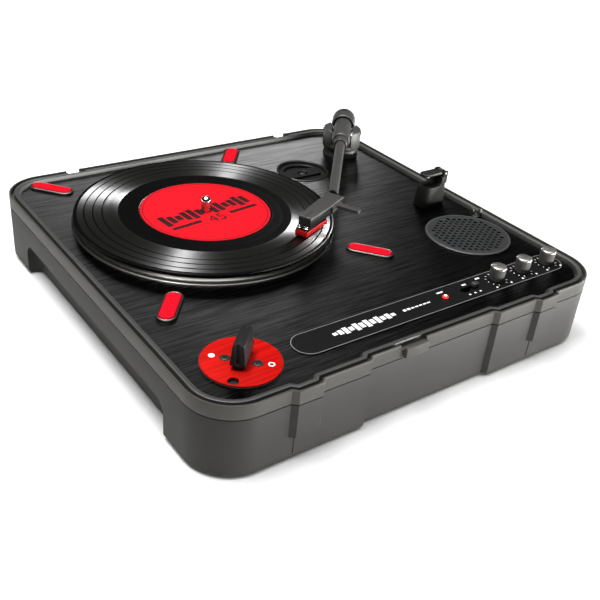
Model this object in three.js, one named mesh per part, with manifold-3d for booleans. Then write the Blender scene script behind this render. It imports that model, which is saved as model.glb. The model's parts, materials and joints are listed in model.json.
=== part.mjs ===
// Portable belt-driven record player with a pivoting tonearm, a built-in speaker and a
// toggle switch, standing on four rubber feet. The dust cover is off.
// Millimetres, +X to the right along the front, +Y to the back, +Z up.
// The origin is on the floor under the middle of the case.

import * as THREE from 'three';
import { mergeVertices } from 'three/addons/utils/BufferGeometryUtils.js';
import Module from 'manifold-3d';

const wasm = await Module();
wasm.setup();

// ---------------------------------------------------------------- case
const CASE_WIDTH = 297;
const SIDE_X = CASE_WIDTH / 2;
const BACK_Y = 149.6;
const STEP = 2.9; // depth of each step in the front
const FRONT_Y = -146.7; // the front face beside the steps
const CORNER_R = 28;
const BUMP_X = [84.1, 99.1]; // flat part of each raised block on the front
const RECESS_X = 46.8; // half the flat part of the sunk panel in the middle of the front
const BUMP_BOTTOM_Z = 18;

const FLOOR_GAP = 1.8; // from the floor to the bottom of the case
const WALL = 2.5;
const PART_LINE_Z = 39;
const PART_LINE_GAP = 0.5;
const RIM_TOP_Z = 48;
const LIP = 1.4;
const GROOVE = 2; // the dust cover sits in this groove
const BEZEL = 2.9;
const DECK_Z = 45;
const DECK_THICK = 1.5;
const GAP = 0.3; // between pieces that meet

const GRIP_DEPTH = 8.5; // finger recess along each side
const GRIP_HALF_LENGTH = 98.5;
const GRIP_TOP_Z = 24.4;
const GRIP_R = 9;

// ---------------------------------------------------------------- platter and record
const PLATTER = [-43, 41.4];
const PLATTER_R = 86.2;
const PLATTER_TOP_Z = 48;
const SLIPMAT_R = 84.5;
const RECORD_R = 87.5; // a 7 inch record
const RECORD_TOP_Z = 52;
const RECORD_THICK = 1.7;
const LABEL_R = 44.5;
const SPINDLE_R = 3.5;
const SPINDLE_TOP_Z = 62.5;
const WELL_R = 87.4;
const BELT_RIM_R = 60;
const PULLEY_R = 5;
const MOTOR_DISTANCE = 76;
const MOTOR_ANGLE = 135;

// ---------------------------------------------------------------- tonearm
const ARM_PIVOT = [119.5, 100];
const ARM_ANGLE = 229.2; // direction from the pivot to the headshell, from +X
const ARM_Z = 65;
const ARM_TUBE_R = 3.6;
const ARM_TUBE_END = 131.5;
const HEADSHELL_ANGLE = -23.8; // offset of the headshell from the arm
const HEADSHELL_START = [131.5, 2.2];
const YOKE_R = 15.3;

// ---------------------------------------------------------------- things on the deck
const SWITCH = [-109.3, -110.6];
const SWITCH_R = 22.2;
const PADDLE_PIVOT_Z = 50.5;
const PADDLE_HALF_THICK = 4.2;
const PANEL_Y = -114.2;
const PANEL_X = [-68.3, 129.4]; // centres of the two rounded ends
const PANEL_R = 10.1;
const KNOB_X = [80.3, 104.3, 128.3];
const SLIDER_X = 60.6;
const LED_X = 35.4;
const SPEAKER = [109.5, -59.8];
const GRILLE_R = 30;
const ADAPTER = [68.3, 82];
const ADAPTER_R = 18.1;
const REST_POST = [119.5, -8];
const PAD_DISTANCE = 115;
const PAD_HALF = 10; // half the straight part of each pad
const PAD_R = 4.7;
const PAD_ANGLES = [50, 130, 230, 310];
const LAID = 0.05; // a piece laid on another one stands this much clear of it
const BATTERY = { x0: -50, x1: 50, y0: -20, y1: 50 }; // opening in the bottom
const FOOT_XY = [[-118, -118], [118, -118], [-118, 118], [118, 118]];

// ---------------------------------------------------------------- materials
function material(name, color, roughness, metalness) {
  return new THREE.MeshStandardMaterial({ name, color, roughness, metalness });
}
const caseGrey = material('case_grey', 0x7c7a74, 0.5, 0.2);
const shellGrey = material('shell_grey', 0x5f5e59, 0.55, 0.2);
const bezelGrey = material('bezel_grey', 0x77777a, 0.4, 0.5);
const brushedBlack = material('brushed_black', 0x2a2a2a, 0.35, 0.9);
const darkSilver = material('dark_silver', 0x8a8883, 0.35, 0.9);
const blackPlastic = material('black_plastic', 0x141414, 0.5, 0);
const redRubber = material('red_rubber', 0xd8102a, 0.9, 0);
const redPlate = material('red_plate', 0xdf1f1c, 0.35, 0.6);
const redPlastic = material('red_plastic', 0xb01414, 0.4, 0);
const labelRed = material('label_red', 0xf01c2c, 0.6, 0);
const vinyl = material('vinyl', 0x111110, 0.2, 0);
const blackFelt = material('black_felt', 0x0d0d0d, 0.95, 0);
const rubber = material('rubber', 0x101010, 0.8, 0);
const steel = material('steel', 0xb8b8b8, 0.25, 1);
const paperCone = material('cone', 0x1b1b1b, 0.8, 0);
const boardGreen = material('board', 0x1d4a2c, 0.6, 0);
const ledRed = material('led', 0xff2a20, 0.3, 0);

// ---------------------------------------------------------------- shapes
const rad = THREE.MathUtils.degToRad;

function polygon(points) {
  return new THREE.Shape(points.map(([x, y]) => new THREE.Vector2(x, y)));
}

function circlePoints(radius, count, [cx, cy] = [0, 0]) {
  const points = [];
  for (let i = 0; i < count; i += 1) {
    const a = (2 * Math.PI * i) / count;
    points.push([cx + radius * Math.cos(a), cy + radius * Math.sin(a)]);
  }
  return points;
}

function arcPoints([cx, cy], radius, from, to, count) {
  const points = [];
  for (let i = 0; i <= count; i += 1) {
    const a = rad(from + ((to - from) * i) / count);
    points.push([cx + radius * Math.cos(a), cy + radius * Math.sin(a)]);
  }
  return points;
}

// A slot shape with round ends between two points on a line along X.
function slotPoints(x0, x1, y, radius, count = 12) {
  return [
    ...arcPoints([x1, y], radius, -90, 90, count),
    ...arcPoints([x0, y], radius, 90, 270, count),
  ];
}

// Merges equal corners and drops triangles that have no area.
function clean(geometry) {
  const bare = geometry.clone();
  for (const name of Object.keys(bare.attributes)) {
    if (name !== 'position') bare.deleteAttribute(name);
  }
  const merged = mergeVertices(bare, 1e-4);
  const kept = [];
  const index = merged.index.array;
  for (let i = 0; i < index.length; i += 3) {
    const [a, b, c] = [index[i], index[i + 1], index[i + 2]];
    if (a !== b && b !== c && c !== a) kept.push(a, b, c);
  }
  merged.setIndex(kept);
  return merged;
}

function toSolid(geometry) {
  const merged = clean(geometry);
  return new wasm.Manifold(new wasm.Mesh({
    numProp: 3,
    vertProperties: new Float32Array(merged.attributes.position.array),
    triVerts: new Uint32Array(merged.index.array),
  }));
}

function toGeometry(solid) {
  const mesh = solid.getMesh();
  const geometry = new THREE.BufferGeometry();
  geometry.setAttribute('position', new THREE.BufferAttribute(mesh.vertProperties, 3));
  geometry.setIndex(new THREE.BufferAttribute(mesh.triVerts, 1));
  geometry.computeVertexNormals();
  return geometry;
}

function cut(body, ...tools) {
  let solid = toSolid(body);
  for (const tool of tools) solid = solid.subtract(toSolid(tool));
  return toGeometry(solid);
}

function join(...bodies) {
  let solid = toSolid(bodies[0]);
  for (const body of bodies.slice(1)) solid = solid.add(toSolid(body));
  return toGeometry(solid);
}

// An outline, with holes if any, raised from z0 to z1.
function plate(points, z0, z1, holes = []) {
  const shape = polygon(points);
  shape.holes = holes.map((hole) => polygon(hole));
  const geometry = new THREE.ExtrudeGeometry(shape, { depth: z1 - z0, bevelEnabled: false });
  return geometry.translate(0, 0, z0);
}

function disc(center, radius, z0, z1, count = 32) {
  return plate(circlePoints(radius, count, center), z0, z1);
}

function ring(center, outer, inner, z0, z1, count = 48) {
  return plate(circlePoints(outer, count, center), z0, z1, [circlePoints(inner, count, center)]);
}

function box(x0, x1, y0, y1, z0, z1) {
  return new THREE.BoxGeometry(x1 - x0, y1 - y0, z1 - z0)
    .translate((x0 + x1) / 2, (y0 + y1) / 2, (z0 + z1) / 2);
}

// A profile of [radius, z] points turned about a vertical axis through the centre.
function turned(profile, [cx, cy] = [0, 0], count = 32) {
  const points = profile.map(([r, z]) => new THREE.Vector2(r, z));
  return new THREE.LatheGeometry(points, count).rotateX(Math.PI / 2).translate(cx, cy, 0);
}

// A rod along X with the given [x, radius] profile.
function rodX(profile, count = 24) {
  const points = profile.map(([x, r]) => new THREE.Vector2(r, x));
  return new THREE.LatheGeometry(points, count).rotateZ(-Math.PI / 2);
}

function cylinderY(x, y0, y1, z, radius, count = 20) {
  return new THREE.CylinderGeometry(radius, radius, y1 - y0, count)
    .translate(x, (y0 + y1) / 2, z);
}

// A tapered body through convex outlines that all have the same number of points.
function loft(sections) {
  const count = sections[0].points.length;
  const positions = [];
  const index = [];
  for (const { points, z } of sections) {
    for (const [x, y] of points) positions.push(x, y, z);
  }
  for (let s = 0; s < sections.length - 1; s += 1) {
    for (let i = 0; i < count; i += 1) {
      const a = s * count + i;
      const b = s * count + ((i + 1) % count);
      index.push(a, b, b + count, a, b + count, a + count);
    }
  }
  const top = (sections.length - 1) * count;
  for (let i = 1; i < count - 1; i += 1) {
    index.push(0, i + 1, i);
    index.push(top, top + i, top + i + 1);
  }
  const geometry = new THREE.BufferGeometry();
  geometry.setAttribute('position', new THREE.Float32BufferAttribute(positions, 3));
  geometry.setIndex(index);
  geometry.computeVertexNormals();
  return geometry;
}

// The plan of the case, moved inward by an inset. The front steps out at the two blocks and
// in at the middle panel, and each step is cut at 45 degrees.
function casePlan(inset, { blocks = true, arc = 6 } = {}) {
  const r = CORNER_R - inset;
  const x = SIDE_X - CORNER_R;
  const slant = inset * Math.tan(rad(22.5));
  const level = FRONT_Y + inset;
  const front = [];
  if (blocks) {
    front.push([-BUMP_X[1] - STEP + slant, level], [-BUMP_X[1] + slant, level - STEP]);
    front.push([-BUMP_X[0] - slant, level - STEP], [-BUMP_X[0] + STEP - slant, level]);
  }
  front.push([-RECESS_X - STEP - slant, level], [-RECESS_X - slant, level + STEP]);
  const mirrored = front.map(([px, py]) => [-px, py]).reverse();
  return [
    ...arcPoints([-x, FRONT_Y + CORNER_R], r, 180, 270, arc),
    ...front,
    ...mirrored,
    ...arcPoints([x, FRONT_Y + CORNER_R], r, 270, 360, arc),
    ...arcPoints([x, BACK_Y - CORNER_R], r, 0, 90, arc),
    ...arcPoints([-x, BACK_Y - CORNER_R], r, 90, 180, arc),
  ];
}

function frameRing(outerInset, innerInset, z0, z1) {
  return plate(casePlan(outerInset), z0, z1, [casePlan(innerInset)]);
}

// ---------------------------------------------------------------- the assembly
const player = new THREE.Group();

function add(name, geometry, meshMaterial, parent = player) {
  const mesh = new THREE.Mesh(clean(geometry), meshMaterial);
  mesh.name = name;
  parent.add(mesh);
  return mesh;
}

// ---------------------------------------------------------------- lower shell
// The side recess for the fingers: a long opening with round upper corners, cut into the wall.
function gripCut(side, grow) {
  const half = GRIP_HALF_LENGTH + grow;
  const top = GRIP_TOP_Z + grow;
  const r = GRIP_R + grow;
  const outline = [
    [-half, -5],
    [half, -5],
    ...arcPoints([half - r, top - r], r, 0, 90, 5),
    ...arcPoints([-half + r, top - r], r, 90, 180, 5),
  ];
  const depth = GRIP_DEPTH + grow;
  const body = new THREE.ExtrudeGeometry(polygon(outline), { depth: depth + 5, bevelEnabled: false });
  // the outline's two axes become Y and Z, and it is raised along X
  body.applyMatrix4(new THREE.Matrix4().set(
    0, 0, 1, 0,
    1, 0, 0, 0,
    0, 1, 0, 0,
    0, 0, 0, 1,
  ));
  return side > 0
    ? body.translate(SIDE_X - depth, 0, 0)
    : body.translate(-SIDE_X - 5, 0, 0);
}

function lowerShell() {
  const top = PART_LINE_Z - PART_LINE_GAP / 2;
  const bevel = 1.6;
  const outer = join(
    plate(casePlan(bevel, { blocks: false }), FLOOR_GAP, FLOOR_GAP + bevel),
    plate(casePlan(bevel / 2, { blocks: false }), FLOOR_GAP + bevel / 2, FLOOR_GAP + bevel),
    plate(casePlan(0, { blocks: false }), FLOOR_GAP + bevel, top),
    plate(casePlan(0), BUMP_BOTTOM_Z, top),
  );
  let cavity = toSolid(plate(casePlan(WALL), FLOOR_GAP + WALL, top + 5));
  for (const side of [-1, 1]) cavity = cavity.subtract(toSolid(gripCut(side, WALL)));
  const jackWindow = box(-92, -28, BACK_Y - 5, BACK_Y + 5, 12, 32);
  const batteryWindow = box(BATTERY.x0, BATTERY.x1, BATTERY.y0, BATTERY.y1, -5, FLOOR_GAP + WALL + 1);
  return cut(
    outer,
    toGeometry(cavity),
    gripCut(-1, 0),
    gripCut(1, 0),
    jackWindow,
    batteryWindow,
  );
}
add('lower_shell', lowerShell(), shellGrey);

// ---------------------------------------------------------------- upper frame and bezel
const HINGE_X = [85.2, 98.5];
const HINGE_DEPTH = 5.4;
const LATCH_X = [-24.8, -7.8];

function hingeNotches() {
  return [-1, 1].map((side) => {
    const x = [side * HINGE_X[0], side * HINGE_X[1]].sort((a, b) => a - b);
    return box(x[0], x[1], BACK_Y - HINGE_DEPTH, BACK_Y + 5, DECK_Z - 2.2, RIM_TOP_Z + 5);
  });
}

function upperFrame() {
  const body = join(
    frameRing(0, WALL, PART_LINE_Z + PART_LINE_GAP / 2, 41.5),
    frameRing(0, 7.8, 41.3, DECK_Z - DECK_THICK - GAP),
    frameRing(0, LIP + GROOVE - GAP, 43, 44.4),
    frameRing(0, LIP, 44.2, RIM_TOP_Z - 0.5),
    frameRing(0.5, LIP, 47, RIM_TOP_Z),
  );
  const recessY = FRONT_Y + STEP;
  const latchSlot = box(LATCH_X[0] - 2.5, LATCH_X[1], recessY - 2, recessY + 2.2, 44.6, RIM_TOP_Z + 5);
  return cut(body, latchSlot, ...hingeNotches());
}
add('upper_frame', upperFrame(), caseGrey);

const bezelOuter = LIP + GROOVE;
add('deck_bezel', cut(
  join(
    frameRing(bezelOuter, bezelOuter + BEZEL, DECK_Z - DECK_THICK, RIM_TOP_Z - 0.4),
    frameRing(bezelOuter + 0.4, bezelOuter + BEZEL - 0.4, 47, RIM_TOP_Z),
  ),
  ...hingeNotches(),
), bezelGrey);

// the catch that holds the dust cover shut, standing in front of the sunk panel
add('latch_tab', join(
  box(LATCH_X[0], LATCH_X[1], FRONT_Y, FRONT_Y + STEP - GAP, 40, 45.6),
  box(LATCH_X[0], LATCH_X[1], FRONT_Y + 0.7, FRONT_Y + STEP - GAP, 45, 46.6),
), caseGrey);

// ---------------------------------------------------------------- deck
const SLIDER_SLOT = { x0: 49.5, x1: 63.2, half: 2.3 };
const LED_HOLE_R = 2.2;
const KNOB_HOLE_R = 3.4;

function controlHoles() {
  return [
    circlePoints(LED_HOLE_R, 12, [LED_X, PANEL_Y]),
    slotPoints(SLIDER_SLOT.x0, SLIDER_SLOT.x1, PANEL_Y, SLIDER_SLOT.half, 4),
    ...KNOB_X.map((x) => circlePoints(KNOB_HOLE_R, 12, [x, PANEL_Y])),
  ];
}

function deckPlate() {
  const inset = bezelOuter + BEZEL + GAP;
  const holes = [
    circlePoints(WELL_R + GAP, 48, PLATTER),
    circlePoints(SWITCH_R - 1.5, 24, SWITCH),
    circlePoints(ADAPTER_R + 1.4, 24, ADAPTER),
    circlePoints(GRILLE_R - 3, 24, SPEAKER),
    ...controlHoles(),
  ];
  return plate(casePlan(inset), DECK_Z - DECK_THICK, DECK_Z, holes);
}
add('deck_plate', deckPlate(), brushedBlack);

add('control_inlay', plate(
  slotPoints(PANEL_X[0], PANEL_X[1], PANEL_Y, PANEL_R, 14),
  DECK_Z + LAID,
  DECK_Z + 0.45,
  controlHoles(),
), blackPlastic);

PAD_ANGLES.forEach((angle, i) => {
  const group = new THREE.Group();
  group.position.set(
    PLATTER[0] + PAD_DISTANCE * Math.cos(rad(angle)),
    PLATTER[1] + PAD_DISTANCE * Math.sin(rad(angle)),
    0,
  );
  group.rotation.z = rad(angle);
  player.add(group);
  const pad = (radius) => slotPoints(-PAD_HALF, PAD_HALF, 0, radius, 7);
  const trim = loft([
    { points: pad(PAD_R + 1), z: DECK_Z + LAID },
    { points: pad(PAD_R + 1), z: DECK_Z + 1.1 },
    { points: pad(PAD_R + 0.7), z: DECK_Z + 1.6 },
  ]);
  add(`pad_trim_${i + 1}`, cut(trim, plate(pad(PAD_R + 0.2), DECK_Z + 0.6, DECK_Z + 5)), darkSilver, group);
  add(`support_pad_${i + 1}`, loft([
    { points: pad(PAD_R), z: DECK_Z + 0.8 },
    { points: pad(PAD_R), z: DECK_Z + 1.7 },
    { points: pad(PAD_R - 0.4), z: DECK_Z + 2 },
  ]), redRubber, group);
});

// Two small upright tabs beside the right edge of the deck.
add('side_tabs', join(
  box(134.6, 137.4, -39, -36.6, DECK_Z + LAID, DECK_Z + 6),
  box(138.6, 141.2, -42.6, -40.2, DECK_Z + LAID, DECK_Z + 6),
  box(134.6, 141.2, -42.6, -36.6, DECK_Z + LAID, DECK_Z + 0.8),
), darkSilver);

// ---------------------------------------------------------------- platter, belt and motor
add('platter_trim', turned([
  [WELL_R + 0.2, DECK_Z + LAID],
  [WELL_R + 2.4, DECK_Z + LAID],
  [WELL_R + 2.1, DECK_Z + 0.5],
  [WELL_R + 1.2, DECK_Z + 0.8],
  [WELL_R + 0.2, DECK_Z + 0.5],
  [WELL_R + 0.2, DECK_Z + LAID],
], PLATTER, 48), darkSilver);

const motorXY = [
  PLATTER[0] + MOTOR_DISTANCE * Math.cos(rad(MOTOR_ANGLE)),
  PLATTER[1] + MOTOR_DISTANCE * Math.sin(rad(MOTOR_ANGLE)),
];
add('platter_well', cut(
  turned([
    [0, 38.4],
    [WELL_R, 38.4],
    [WELL_R, DECK_Z],
    [WELL_R - 0.9, DECK_Z],
    [WELL_R - 0.9, 39.9],
    [0, 39.9],
  ], PLATTER, 48),
  disc(PLATTER, 6.3, 30, 50, 24),
  disc(motorXY, 8, 30, 50, 20),
), blackPlastic);

add('bearing_bush', turned([
  [SPINDLE_R + GAP, 30],
  [6, 30],
  [6, 38],
  [6, 41.5],
  [SPINDLE_R + GAP, 41.5],
  [SPINDLE_R + GAP, 30],
], PLATTER, 20), steel);

add('platter', turned([
  [SPINDLE_R + GAP, PLATTER_TOP_Z],
  [SPINDLE_R + GAP, 42.2],
  [9, 42.2],
  [9, 46],
  [BELT_RIM_R - 2, 46],
  [BELT_RIM_R - 2, 41.8],
  [BELT_RIM_R, 41.8],
  [BELT_RIM_R, 46],
  [PLATTER_R - 2, 46],
  [PLATTER_R - 2, 42.5],
  [PLATTER_R - 0.3, 42.5],
  [PLATTER_R, 47.4],
  [PLATTER_R - 0.6, PLATTER_TOP_Z],
  [SPINDLE_R + GAP, PLATTER_TOP_Z],
], PLATTER, 48), darkSilver);

add('spindle', turned([
  [0, 31],
  [SPINDLE_R, 31],
  [SPINDLE_R, SPINDLE_TOP_Z - 3],
  [SPINDLE_R - 0.5, SPINDLE_TOP_Z - 1.2],
  [SPINDLE_R - 1.6, SPINDLE_TOP_Z - 0.2],
  [0, SPINDLE_TOP_Z],
], PLATTER, 20), steel);

const slipmatTop = RECORD_TOP_Z - RECORD_THICK - 0.1;
add('slipmat', ring(PLATTER, SLIPMAT_R, SPINDLE_R + GAP, PLATTER_TOP_Z + 0.1, slipmatTop, 48), blackFelt);

const recordBottom = RECORD_TOP_Z - RECORD_THICK;
add('record', turned([
  [SPINDLE_R + GAP, recordBottom],
  [RECORD_R - 0.4, recordBottom],
  [RECORD_R, recordBottom + 0.5],
  [RECORD_R, RECORD_TOP_Z - 0.5],
  [RECORD_R - 0.5, RECORD_TOP_Z],
  [LABEL_R + 1.2, RECORD_TOP_Z],
  [LABEL_R, RECORD_TOP_Z - 0.4],
  [SPINDLE_R + GAP, RECORD_TOP_Z - 0.4],
  [SPINDLE_R + GAP, recordBottom],
], PLATTER, 60), vinyl);
add('record_label', ring(
  PLATTER, LABEL_R - 0.1, SPINDLE_R + GAP, RECORD_TOP_Z - 0.3, RECORD_TOP_Z - 0.05, 40,
), labelRed);

// the belt runs round the rim under the platter and the motor's pulley
function beltOutline(clearance) {
  const big = BELT_RIM_R + clearance;
  const small = PULLEY_R + clearance;
  const tangent = THREE.MathUtils.radToDeg(Math.acos((big - small) / MOTOR_DISTANCE));
  return [
    ...arcPoints(motorXY, small, MOTOR_ANGLE - tangent, MOTOR_ANGLE + tangent, 8),
    ...arcPoints(PLATTER, big, MOTOR_ANGLE + tangent, MOTOR_ANGLE + 360 - tangent, 40),
  ];
}
add('drive_belt', plate(beltOutline(1.1), 42.4, 45.2, [beltOutline(0.2)]), rubber);
add('motor_pulley', turned([
  [0, 40.6],
  [PULLEY_R + 1, 40.6],
  [PULLEY_R + 1, 41.6],
  [PULLEY_R, 42],
  [PULLEY_R, 45.4],
  [0, 45.4],
], motorXY, 20), steel);
add('motor', join(
  disc(motorXY, 16, 14, 37, 28),
  disc(motorXY, 19, 34, 36, 28),
  disc(motorXY, 3, 36, 40.2, 16),
), steel);

// ---------------------------------------------------------------- tonearm
add('arm_base', turned([
  [5.3, DECK_Z + LAID],
  [14.3, DECK_Z + LAID],
  [14.1, DECK_Z + 1.2],
  [13.5, DECK_Z + 5.7],
  [13, DECK_Z + 6.2],
  [5.3, DECK_Z + 6.2],
  [5.3, DECK_Z + LAID],
], ARM_PIVOT, 28), darkSilver);

const arm = new THREE.Group();
arm.position.set(ARM_PIVOT[0], ARM_PIVOT[1], 0);
arm.rotation.z = rad(ARM_ANGLE);
player.add(arm);

// a round block, slotted for the arm's housing, with a stub that turns in the base
const housingR = 7.2;
const yokeSlot = 8.3;
add('arm_yoke', cut(
  turned([
    [0, DECK_Z + 1],
    [5, DECK_Z + 1],
    [5, DECK_Z + 6.6],
    [YOKE_R - 0.5, DECK_Z + 6.6],
    [YOKE_R, DECK_Z + 7.2],
    [YOKE_R, 66.4],
    [YOKE_R - 0.7, 67.2],
    [0, 67.2],
  ], [0, 0], 32),
  box(-20, 20, -yokeSlot, yokeSlot, 55, 80),
  box(-20, -5.6, -10.2, 10.2, 52.6, 80),
), darkSilver, arm);

const liftedArm = new THREE.Group();
liftedArm.position.z = ARM_Z;
arm.add(liftedArm);

// the housing, the stub that carries the counterweight, and the collar at the tube's root
add('arm_housing', cut(
  join(
    rodX([
      [-13, 0], [-13, housingR], [27.4, housingR], [28, housingR - 0.6], [28, 5],
      [28.6, 5.4], [34.6, 5.4], [35.2, 5], [35.2, 0],
    ], 24),
    rodX([[-24, 0], [-24, 2.8], [-12, 2.8], [-12, 0]], 16),
    cylinderY(0, -7.9, 7.9, 0, 2.6, 16),
  ),
  rodX([[28.6, 0], [28.6, ARM_TUBE_R + GAP], [40, ARM_TUBE_R + GAP], [40, 0]], 24),
), darkSilver, liftedArm);

add('counterweight', cut(
  rodX([
    [-30, 0], [-30, 6.6], [-29.4, 7.9], [-27.6, 9.2], [-25, 9.6],
    [-9.2, 9.6], [-8.7, 9.2], [-8.7, 0],
  ], 24),
  rodX([[-14.5, 0], [-14.5, 8.3], [0, 8.3], [0, 0]], 24),
  rodX([[-25, 0], [-25, 3.1], [-10, 3.1], [-10, 0]], 16),
), darkSilver, liftedArm);

// The tube, cut off at its far end along the back of the headshell.
const behindHeadshell = new THREE.BoxGeometry(40, 80, 40)
  .translate(20 - GAP, 0, 0)
  .rotateZ(rad(HEADSHELL_ANGLE))
  .translate(HEADSHELL_START[0], HEADSHELL_START[1], 0);
add('arm_tube', cut(
  rodX([[29, 2.6], [29, ARM_TUBE_R], [140, ARM_TUBE_R], [140, 2.6], [29, 2.6]], 20),
  behindHeadshell,
), darkSilver, liftedArm);

const head = new THREE.Group();
head.position.set(HEADSHELL_START[0], HEADSHELL_START[1], 0);
head.rotation.z = rad(HEADSHELL_ANGLE);
liftedArm.add(head);

const shellLength = 45;
const headPlan = (inset) => [
  [inset, -6 + inset],
  [20, -6 + inset],
  [shellLength - inset, -4.7 + inset],
  [shellLength - inset, 4.7 - inset],
  [20, 6 - inset],
  [inset, 6 - inset],
];
add('headshell', cut(
  join(
    plate(headPlan(0), -5.4, 0.9),
    plate(headPlan(0.5), 0.5, 1.4),
  ),
  plate(headPlan(1.2), -8, -0.3),
), darkSilver, head);

const fingerPlan = [[7.4, 6.6], [12.2, 6.6], [11.6, 22.2], [10.8, 23.2], [9, 23.2], [8.2, 22.2]];
add('finger_lift', join(
  box(5.5, 18, 6.3, 7.2, -4, -0.2),
  plate(fingerPlan, -1.4, -0.2),
), darkSilver, head);

add('cartridge', join(
  box(17, 43.2, -3.2, 3.2, -5.6, -0.7),
  box(17, 46.6, -4.2, 4.2, -7.4, -5.7),
  box(20, 42, -3, 3, -6, -5.5),
), blackPlastic, head);
add('cartridge_pins', join(
  box(46.9, 48.1, -4, -0.8, -7.3, -5.2),
  box(46.9, 48.1, 0.8, 4, -7.3, -5.2),
  box(46.9, 47.5, -4, 4, -7.3, -6.3),
), steel, head);
const holderPlan = [[21.4, -5.2], [48.2, -4.3], [48.2, 4.3], [21.4, 5.2]];
add('stylus_holder', join(
  plate(holderPlan, -11.6, -7.7),
  turned([[0, -12.7], [0.5, -11.9], [0.5, -11], [0, -11]], [43, 0], 10),
), redPlastic, head);

// ---------------------------------------------------------------- arm rest
const post = { halfTop: 11, radiusTop: 6, halfBase: 12.5, radiusBase: 7 };
const clipHinge = { x: 127.6, z: 69.9 };
const slotAt = (half, radius) => slotPoints(
  REST_POST[0] - half + radius, REST_POST[0] + half - radius, REST_POST[1], radius, 8,
);
const cradleR = ARM_TUBE_R + 0.4;
const leftCheekZ = ARM_Z - ARM_TUBE_R - 0.4;
add('arm_rest_post', join(
  cut(
    loft([
      { points: slotAt(post.halfBase, post.radiusBase), z: DECK_Z + LAID },
      { points: slotAt(post.halfBase - 0.2, post.radiusBase - 0.1), z: DECK_Z + 5 },
      { points: slotAt(post.halfTop, post.radiusTop), z: 67.6 },
    ]),
    box(90, REST_POST[0], -30, 15, leftCheekZ, 90),
    box(REST_POST[0] - 1, REST_POST[0] + cradleR, -30, 15, ARM_Z, 90),
    cylinderY(REST_POST[0], -30, 15, ARM_Z, cradleR, 24),
  ),
  box(125.2, 130, -13.2, -11, 60, 71.4),
  box(125.2, 130, -5, -2.8, 60, 71.4),
  cylinderY(clipHinge.x, -12, -4, clipHinge.z, 0.8, 12),
), darkSilver);

add('arm_rest_clip', cut(
  join(
    plate([
      ...arcPoints([112.2, -8], 4.2, 90, 270, 6),
      [124.4, -12.2],
      [124.4, -10.6],
      [127.6, -10.6],
      [127.6, -5.4],
      [124.4, -5.4],
      [124.4, -3.8],
    ], 69.1, 70.8),
    cylinderY(clipHinge.x, -10.6, -5.4, clipHinge.z, 1.9, 16),
  ),
  cylinderY(clipHinge.x, -20, 5, clipHinge.z, 1.1, 12),
), darkSilver);

// ---------------------------------------------------------------- adapter for large holes
add('adapter_cup', turned([
  [0, 39.8],
  [ADAPTER_R + 1, 39.8],
  [ADAPTER_R + 1, DECK_Z + LAID],
  [ADAPTER_R + 2.3, DECK_Z + LAID],
  [ADAPTER_R + 1.8, DECK_Z + 0.6],
  [ADAPTER_R + 0.9, DECK_Z + 0.6],
  [ADAPTER_R + 0.3, DECK_Z],
  [ADAPTER_R + 0.3, 41.2],
  [2.9, 41.2],
  [2.9, 43],
  [2.5, 43.4],
  [0, 43.4],
], ADAPTER, 28), darkSilver);

const adapterBarHalf = 5.5;
const windowR = 14.8;
const barEdge = THREE.MathUtils.radToDeg(Math.asin(adapterBarHalf / windowR));
add('adapter_45', plate(
  circlePoints(ADAPTER_R, 28, ADAPTER),
  41.5,
  43.5,
  [
    arcPoints(ADAPTER, windowR, barEdge, 180 - barEdge, 12),
    arcPoints(ADAPTER, windowR, 180 + barEdge, 360 - barEdge, 12),
    circlePoints(3.7, 16, ADAPTER),
  ],
), darkSilver);

// ---------------------------------------------------------------- toggle switch
const switchGroup = new THREE.Group();
switchGroup.position.set(SWITCH[0], SWITCH[1], 0);
switchGroup.rotation.z = rad(45);
player.add(switchGroup);

add('switch_disc', plate(
  circlePoints(SWITCH_R, 36),
  DECK_Z + LAID,
  DECK_Z + 0.9,
  [circlePoints(2.6, 16, [18.2, 0]), circlePoints(2.6, 16, [-18.2, 0])],
), redPlate, switchGroup);

[-1, 1].forEach((side, i) => {
  add(`switch_screw_${i + 1}`, turned([
    [0, DECK_Z + 1.2],
    [2.35, DECK_Z + 1.2],
    [2.1, DECK_Z + 1.6],
    [1.2, DECK_Z + 1.9],
    [0, DECK_Z + 1.9],
  ], [0, side * 8.9], 16), blackPlastic, switchGroup);
});

// the paddle's round foot lies along the line it tilts about
const paddleSection = [
  ...arcPoints([0, PADDLE_PIVOT_Z], PADDLE_HALF_THICK, 180, 360, 10),
  [3.1, 61],
  [2.6, 61.8],
  [-2.6, 61.8],
  [-3.1, 61],
];
const paddle = new THREE.ExtrudeGeometry(polygon(paddleSection), { depth: 19.4, bevelEnabled: false });
// the outline's two axes become Y and Z, and it is raised along X
paddle.applyMatrix4(new THREE.Matrix4().set(
  0, 0, 1, -9.7,
  1, 0, 0, 0,
  0, 1, 0, 0,
  0, 0, 0, 1,
));
const endSlot = (side) => box(
  side > 0 ? 8.2 : -11, side > 0 ? 11 : -8.2, -0.9, 0.9, PADDLE_PIVOT_Z - 1, 65,
);
add('switch_paddle', cut(paddle, endSlot(-1), endSlot(1)), blackPlastic, switchGroup);

// ---------------------------------------------------------------- controls
const knobNames = ['volume_knob', 'tone_knob', 'pitch_knob'];
knobNames.forEach((name, i) => {
  const knob = join(
    turned([
      [0, DECK_Z + 0.8],
      [4.8, DECK_Z + 0.8],
      [5.1, DECK_Z + 9.8],
      [4.6, DECK_Z + 10.5],
      [0, DECK_Z + 10.7],
    ], [0, 0], 20),
    disc([0, 0], 3, DECK_Z - 6, DECK_Z + 1, 12),
  );
  const pointer = box(1.6, 6, -0.5, 0.5, DECK_Z + 9.9, DECK_Z + 12).rotateZ(rad(130));
  const mesh = add(name, cut(knob, pointer), darkSilver);
  mesh.position.set(KNOB_X[i], PANEL_Y, 0);
});

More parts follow.
